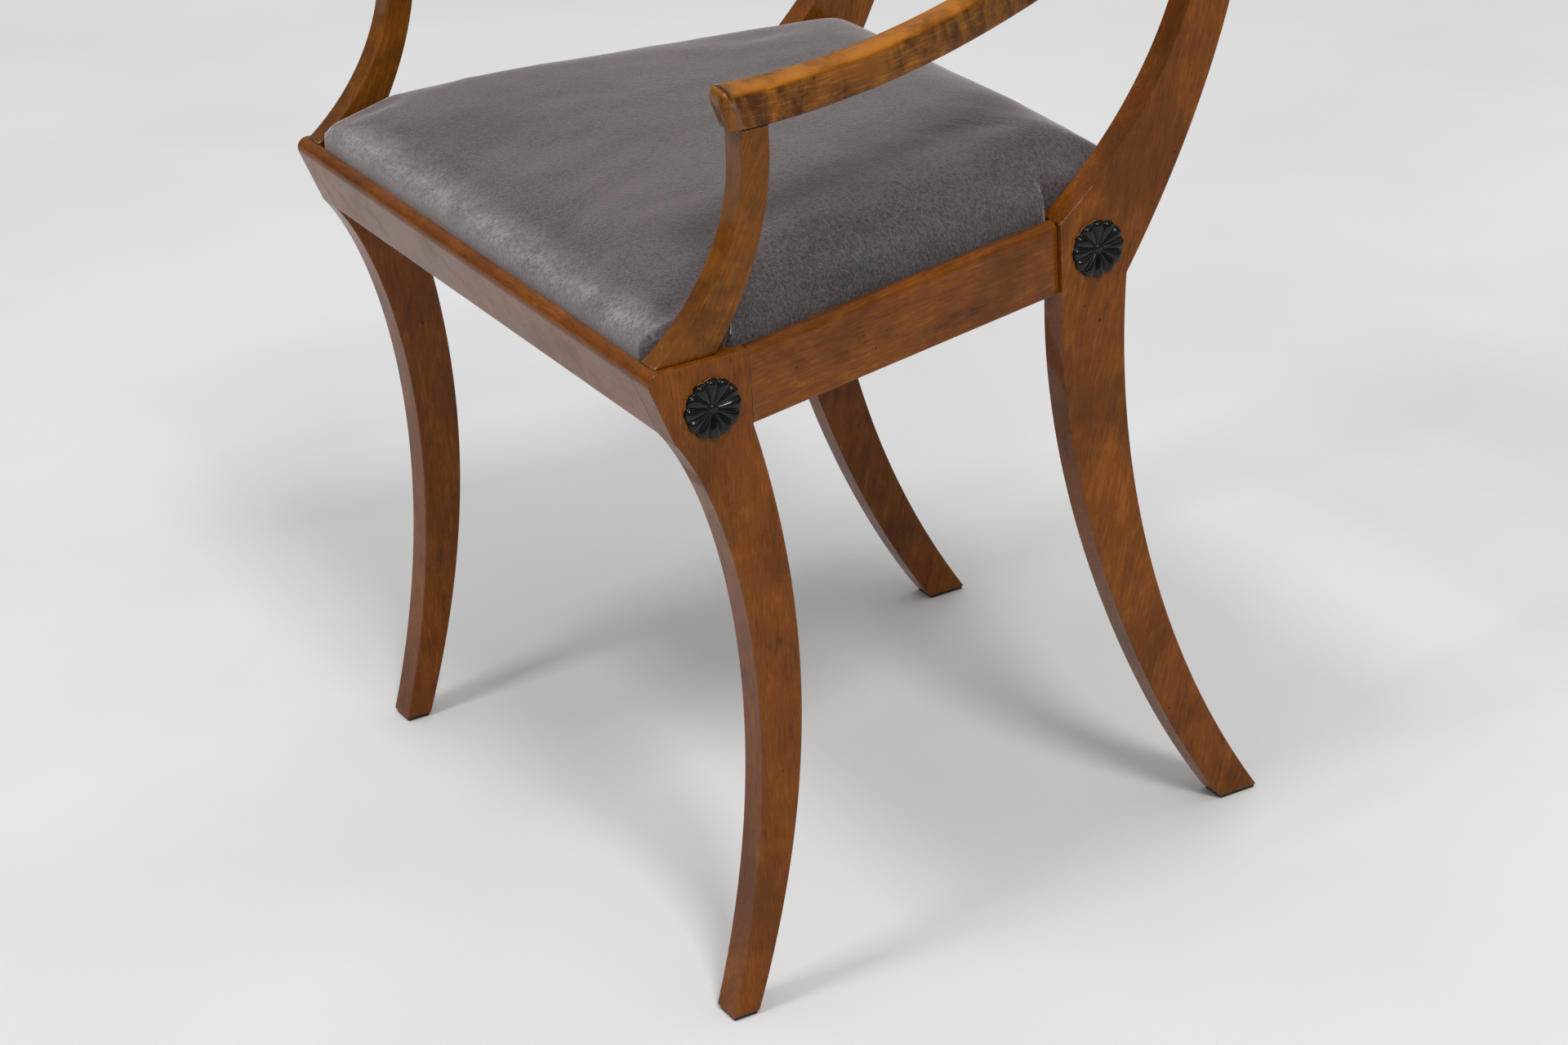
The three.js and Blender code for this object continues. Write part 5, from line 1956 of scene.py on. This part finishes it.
    def reach(self, x: float, y: float) -> float:
        """Says how far a point is from the pad's middle, as a share of the way to its smoothed edge.

        Args:
            x: How far out the point is.
            y: Its depth.

        Returns:
            The share.
        """
        s = self.sizes
        front = self.lip_front + self.gap
        middle = (front + self.back) / 2
        share = (y - front) / (self.back - front)
        post = s.front_inner - self.gap
        stile = s.rear_inner - self.gap
        across = x / (post + (stile - post) * share)
        along = (y - middle) / (self.back - middle)
        return (across**self.squareness + along**self.squareness) ** (1 / self.squareness)

    def calm(self, x: float, y: float) -> Point2:
        """Moves a plan point to the smooth line that the crown's inner rings follow.

        Args:
            x: How far out the point is.
            y: Its depth.

        Returns:
            The moved point.
        """
        middle = (self.lip_front + self.gap + self.back) / 2
        reach = self.reach(x, y)
        return x / reach, middle + (y - middle) / reach

    def depth_in(self, x: float, y: float, front: float, tight: float) -> float:
        """How far a point lies inside the seat's outline without its notches, with the corners taken round.

        Args:
            x: How far out the point is.
            y: Its depth.
            front: Share of the way from the front edge that counts.
            tight: How tightly the corners are rounded.

        Returns:
            The distance.
        """
        slant = math.sqrt(1 + self.taper() ** 2)
        side = (self.side_x(y) - abs(x)) / slant
        far = (self.side_x(y) + abs(x)) / slant
        ways = ((y - self.lip_front - self.gap) * front, self.back - y, side, far)
        return sum((max(way, 0.1 * MM) / MM) ** -tight for way in ways) ** (-1 / tight) * MM

    def height(self, x: float, y: float, inset: float) -> float:
        """Height of the pad's surface.

        Args:
            x: How far out the point is.
            y: Its depth.
            inset: Its distance from the nearest edge of the plan.

        Returns:
            The height above the floor.
        """
        share = (y - self.lip_front) / (self.back - self.lip_front)
        hem = 1 - min(1.0, self.depth_in(x, y, 1.0, self.hem_tight) / self.hem_roll)
        hem = self.hem_height * math.sqrt(1 - hem * hem)
        roll = 1 - min(1.0, self.depth_in(x, y, self.front_slack, self.roll_tight) / self.roll)
        roll = (1 - roll * roll) ** (1 / self.roll_fill)
        rise = self.edge_height + self.edge_gain * share - self.edge_low - self.hem_height
        crown = self.crown * (1 - min(1.0, self.reach(x, y)) ** self.crown_turn)
        cut = (1 - min(1.0, inset / self.notch_roll)) ** 2
        return self.sizes.top + self.edge_low + hem + rise * roll + crown - self.notch_fall * cut * roll

    def ring_shares(self) -> list[float]:
        """Spaces the rings over the top, closer together near the rim.

        Returns:
            The size of each ring as a share of the plan.
        """
        rim, inner = self.rim_rings, self.inner_rings
        shares = [1 - self.rim_share * (k / rim) ** self.rim_crowding for k in range(rim + 1)]
        return shares + [shares[-1] * (1 - (k / inner) ** self.inner_crowding) for k in range(1, inner)]

    def skin(self) -> tuple[Rings, list[float]]:
        """Draws the pad in rings from its hem to its middle.

        Returns:
            The rings, and how much each point is lightened along the rim, as brushed pile and painted sheen.
        """
        s = self.sizes
        plan = self.plan(self.step)
        edge = nearest([Vector((x, y, 0)) for x, y in self.plan(self.step / 4)])
        middle = (self.lip_front + self.gap + self.back) / 2
        rings: Rings = [[Vector((x, s.front + y, s.top + z)) for x, y in plan] for z in self.hem_starts]
        rim = [0.0] * (len(plan) * len(rings))
        for t in self.ring_shares():
            blend = min(1.0, max(0.0, (self.calm_start - t) / self.calm_span))
            blend = blend * blend * (3 - 2 * blend)
            ring = []
            for x, y in plan:
                cx, cy = self.calm(x, y)
                px = (x + (cx - x) * blend) * t
                py = middle + ((y + (cy - y) * blend) - middle) * t
                inset = edge.find((px, py, 0))[2] if t < 1 else 0.0
                ring.append(Vector((px, s.front + py, self.height(px, py, inset))))
                # Rim lightening, strongest at the front: brushed pile and painted sheen.
                front = max(0.0, 1 - (py - self.lip_front) / self.worn)
                side = max(0.0, 1 - inset / self.worn)
                edge_rub_highlight = min(1.0, self.edge_wear_highlight + inset / self.edge_band)
                rim.append(max(front**self.rim_fall, self.side_rim * side) * edge_rub_highlight)
            rings.append(ring)
        return rings, rim

    def clear_posts(self, p: Vector) -> Vector:
        """Moves a point back so that the pad clears the leaning arm posts when it lifts out.

        Args:
            p: The point.

        Returns:
            The moved point.
        """
        s = self.sizes
        inside = abs(p.x) - (s.front_inner - self.gap)
        if inside <= -self.lean_band or p.y > s.front + self.lean_depth:
            return p
        least = s.front + self.notch_back + (p.z - s.top) * self.lean
        push = max(0.0, least - p.y) if p.z > s.top else 0.0
        if inside < 0:
            push *= 1 + inside / self.lean_band
        return Vector((p.x, p.y + push, p.z))

    def ripples(self, p: Vector) -> Vector:
        """Moves a point up or down by the slight unevenness of the stuffing and the front corners' pleats.

        Args:
            p: The point.

        Returns:
            The moved point.
        """
        s = self.sizes
        if p.z < s.top + self.even_below:
            return p
        low = noise.noise(p * self.lump_scale) * self.lump
        fine = noise.noise(p * self.ripple_scale + Vector(self.ripple_shift)) * self.ripple
        out = Vector((s.front_inner - abs(p.x), p.y - s.front - self.lip_front))
        along, across = (out.x + out.y) / math.sqrt(2), (out.x - out.y) / math.sqrt(2)
        length = max(0.0, 1 - abs(along - self.pleat_middle) / self.pleat_half)
        crease = math.exp(-((across / self.pleat_width) ** 2)) * length
        return Vector((p.x, p.y, p.z + low + fine - self.pleat * crease))

    def cover_trial(self, pad: bpy.types.Object) -> bpy.types.Object:
        """Makes an even, coarse copy of the pad, held along its hem and set up as cloth under pressure.

        Args:
            pad: The pad.

        Returns:
            The copy.
        """
        trial = bpy.data.objects.new("cover_trial", pad.data.copy())
        bpy.context.scene.collection.objects.link(trial)
        remesh = trial.modifiers.new("even_mesh", "REMESH")
        remesh.mode = "VOXEL"
        remesh.voxel_size = self.trial_step
        even = bpy.data.meshes.new_from_object(trial.evaluated_get(bpy.context.evaluated_depsgraph_get()))
        trial.modifiers.clear()
        trial.data = even
        held = trial.vertex_groups.new(name="held")
        below = self.sizes.top + self.held_above
        held.add([v.index for v in even.vertices if v.co.z < below], 1.0, "REPLACE")
        cloth = trial.modifiers.new("cover", "CLOTH")
        cloth.settings.vertex_group_mass = "held"
        cloth.settings.use_pressure = True
        cloth.settings.uniform_pressure_force = self.pressure
        cloth.settings.effector_weights.gravity = 0
        return trial

    def press_out(self, pad: bpy.types.Object) -> None:
        """Presses the cover out with a cloth simulation and moves the pad's points as the cover moved.

        Args:
            pad: The pad.
        """
        scene = bpy.context.scene
        trial = self.cover_trial(pad)
        start = [v.co.copy() for v in trial.data.vertices]
        for frame in range(1, self.frames + 1):
            scene.frame_set(frame)
        pressed = trial.evaluated_get(bpy.context.evaluated_depsgraph_get()).data
        moved = [v.co - p for v, p in zip(pressed.vertices, start)]
        tree = nearest(start)
        for v in pad.data.vertices:
            if v.co.z > self.sizes.top:
                near = tree.find_n(v.co, self.neighbours)
                move = sum((moved[i] for _, i, _ in near), Vector()) / len(near)
                rise = min(1.0, (v.co.z - self.sizes.top) / self.press_rise)
                move *= rise * self.most_moved / max(self.most_moved, move.length)
                aside = rise * self.press_aside
                v.co += Vector((move.x * aside, move.y * aside, move.z))
        scene.frame_set(1)
        bpy.data.objects.remove(trial)
        LOG.info("cover pressed out, at most %.1f mm", max(m.length for m in moved) / MM)

    def build(self) -> None:
        rings, rim = self.skin()
        rings = [[self.ripples(self.clear_posts(p)) for p in ring] for ring in rings]
        made = loft("velvet_seat_pad", rings)
        # rim: lightening by brushed pile and painted sheen.
        store_value(made, "rim", rim + [0.0, 0.0])
        self.press_out(made)
        self.add(made, VELVET, "velvet", "seat_pad")


@dataclass
class SeatFrame(Assembly):
    """Loose frame of the drop-in seat: bars, webbing, canvas and dust cover."""

    body: str = "seat"
    step: float = 6 * MM
    bars: tuple[str, ...] = ("seat_front_bar", "seat_rear_bar", "seat_side_bar_left", "seat_side_bar_right")
    straps: tuple[str, ...] = (
        "webbing_across_1", "webbing_across_2", "webbing_across_3",
        "webbing_left", "webbing_middle", "webbing_right",
    )
    canvas_taper: float = 1 - 147.4 / 209.6
    cover_taper: float = 1 - 138.1 / 194.6
    least_steps: int = 4

    def cloth(self, name: str, node: str, taper: float, finish: Finish, slot: str) -> None:
        """Builds a stretched cloth in the place of a packed plate.

        Args:
            name: Name of the piece.
            node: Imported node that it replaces.
            taper: Share of its width lost at the rear.
            finish: Its finish.
            slot: The record's material slot.
        """
        low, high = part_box(node)
        size = high - low
        columns, rows = (max(self.least_steps, round(n / self.step)) for n in (size.x, size.y))
        middle = (low.x + high.x) / 2
        bm = bmesh.new()
        sheets = []
        for z in (high.z, low.z):
            grid = []
            for j in range(rows + 1):
                v = j / rows
                half = size.x / 2 * (1 - taper * v)
                line = []
                for i in range(columns + 1):
                    u = i / columns * 2 - 1
                    line.append(bm.verts.new((middle + half * u, low.y + size.y * v, z)))
                grid.append(line)
            sheets.append(grid)
        for grid in sheets:
            for j in range(rows):
                for i in range(columns):
                    bm.faces.new((grid[j][i], grid[j][i + 1], grid[j + 1][i + 1], grid[j + 1][i]))
        rims = []
        for grid in sheets:
            right, left = [r[-1] for r in grid[1:]], [r[0] for r in grid[-2:0:-1]]
            rims.append(grid[0] + right + grid[-1][-2::-1] + left)
        for i in range(len(rims[0])):
            k = (i + 1) % len(rims[0])
            bm.faces.new((rims[0][i], rims[1][i], rims[1][k], rims[0][k]))
        made = piece_from(name, bm)
        self.add(made, finish, slot, node)

    def build(self) -> None:
        """Dresses the bars and builds the cloths."""
        for node in self.bars:
            SOFTWOOD.put_on(bpy.data.objects[node])
            LOG.info("%s keeps its packed shape", node)
        for node in self.straps:
            self.cloth(f"jute_{node}", node, 0.0, JUTE, "jute")
        self.cloth("stretched_canvas", "seat_canvas", self.canvas_taper, CANVAS, "canvas")
        self.cloth("cambric_dust_cover", "dust_cover", self.cover_taper, BLACK_CLOTH, "black_cloth")


@dataclass
class Hidden(Assembly):
    """Glue blocks and screws inside the seat frame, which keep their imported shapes."""

    def build(self) -> None:
        """Dresses the blocks and the screws."""
        for side in Side:
            for end in ("front", "rear"):
                SOFTWOOD.put_on(bpy.data.objects[f"{end}_corner_block_{side.word}"])
            for kind in ("front_rail", "front_leg", "back_rail"):
                STEEL.put_on(bpy.data.objects[f"{kind}_screw_{side.word}"])
            LOG.info("blocks and screws on the %s keep their packed shapes", side.word)


# Studio


def direction(azimuth: float, elevation: float) -> Vector:
    """Gives the way from the chair to a lamp or camera.

    Args:
        azimuth: Its turn round the chair from the front, towards the sitter's left, in radians.
        elevation: Its angle above the floor.

    Returns:
        The way, of length 1.
    """
    level = math.cos(elevation)
    return Vector((math.sin(azimuth) * level, -math.cos(azimuth) * level, math.sin(elevation)))


@dataclass(frozen=True)
class Softbox:
    """A square soft lamp that faces the chair."""

    name: str
    azimuth: float
    elevation: float
    distance: float
    size: float
    level: float

    def build(self, target: Vector) -> None:
        """Sets the lamp so that alone it lights a white floor under it to its level.

        Args:
            target: The point that it faces.
        """
        lamp = bpy.data.lights.new(self.name, "AREA")
        lamp.shape = "SQUARE"
        lamp.size = self.size
        lamp.energy = self.level * math.pi**2 * self.distance**2 / math.sin(math.radians(self.elevation))
        made = bpy.data.objects.new(self.name, lamp)
        away = direction(math.radians(self.azimuth), math.radians(self.elevation))
        made.location = target + away * self.distance
        made.rotation_euler = away.to_track_quat("Z", "Y").to_euler()
        bpy.context.scene.collection.objects.link(made)


@dataclass
class Studio:
    """Pale floor, soft lamps and the photograph's camera."""

    target: tuple[float, float, float] = (0.1669, -0.1387, 0.2844)
    azimuth: float = 61.7
    elevation: float = 25.4
    roll: float = -3.5
    distance: float = 2.4815
    lens: float = 91.5
    sensor: float = 36
    nearest: float = 0.05
    farthest: float = 60
    floor_half: float = 14
    horizon: float = 0.14
    zenith: float = 0.89
    lit: tuple[float, float, float] = (0, 0, 0.3)
    lamps: tuple[Softbox, ...] = (
        Softbox("front_softbox", 8, 62, 8.0, 1.3, 0.19),
        Softbox("side_softbox", 79, 48, 8.0, 1.5, 0.3),
    )

    def camera(self) -> None:
        """Places the camera as it was fitted to the photograph."""
        a, e, r = (math.radians(v) for v in (self.azimuth, self.elevation, self.roll))
        back = direction(a, e)
        right = Vector((math.cos(a), math.sin(a), 0))
        up = back.cross(right)
        across = right * math.cos(r) + up * math.sin(r)
        over = up * math.cos(r) - right * math.sin(r)
        lens = bpy.data.cameras.new("camera")
        lens.lens = self.lens
        lens.sensor_width = self.sensor
        lens.sensor_fit = "HORIZONTAL"
        lens.clip_start = self.nearest
        lens.clip_end = self.farthest
        made = bpy.data.objects.new("camera", lens)
        place = Vector(self.target) + back * self.distance
        made.matrix_world = Matrix((
            (across.x, over.x, back.x, place.x),
            (across.y, over.y, back.y, place.y),
            (across.z, over.z, back.z, place.z),
            (0, 0, 0, 1),
        ))
        bpy.context.scene.collection.objects.link(made)
        bpy.context.scene.camera = made

    def floor(self) -> None:
        """Lays the pale painted floor."""
        bm = bmesh.new()
        bmesh.ops.create_grid(bm, x_segments=1, y_segments=1, size=self.floor_half)
        mesh = bpy.data.meshes.new("floor")
        bm.to_mesh(mesh)
        bm.free()
        made = finish_mesh("floor", mesh)
        FLOOR_PAINT.put_on(made)

    def world(self) -> None:
        """Sets a soft white surround that is brighter overhead."""
        made = bpy.data.worlds.new("surround")
        made.use_nodes = True
        made.node_tree.nodes.clear()
        tree = Tree(made.node_tree)
        light = tree.node("ShaderNodeBackground")
        target = tree.node("ShaderNodeOutputWorld")
        tree.feed(target.inputs["Surface"], light.outputs[0])
        axes = tree.node("ShaderNodeSeparateXYZ")
        tree.feed(axes.inputs[0], tree.node("ShaderNodeTexCoord").outputs["Generated"])
        tree.feed(light.inputs["Strength"], tree.remap(axes.outputs[2], 0.0, 1.0, self.horizon, self.zenith))
        bpy.context.scene.world = made

    def build(self) -> None:
        """Builds the camera, the floor, the lamps and the surround."""
        bpy.context.scene.view_settings.view_transform = "Standard"
        self.camera()
        self.floor()
        self.world()
        for lamp in self.lamps:
            lamp.build(Vector(self.lit))
        LOG.info("studio built")


def main() -> None:
    """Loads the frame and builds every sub-assembly."""
    logging.basicConfig(level=logging.INFO, format="%(name)s: %(message)s")
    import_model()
    Studio().build()
    sizes = FrameSizes()
    for kind in (Legs, SeatRails, Arms, Back, Rosettes, Glides, SeatPad, SeatFrame, Hidden):
        kind(sizes).build()
        LOG.info("%s built", kind.__name__)


if __name__ == "__main__":
    main()
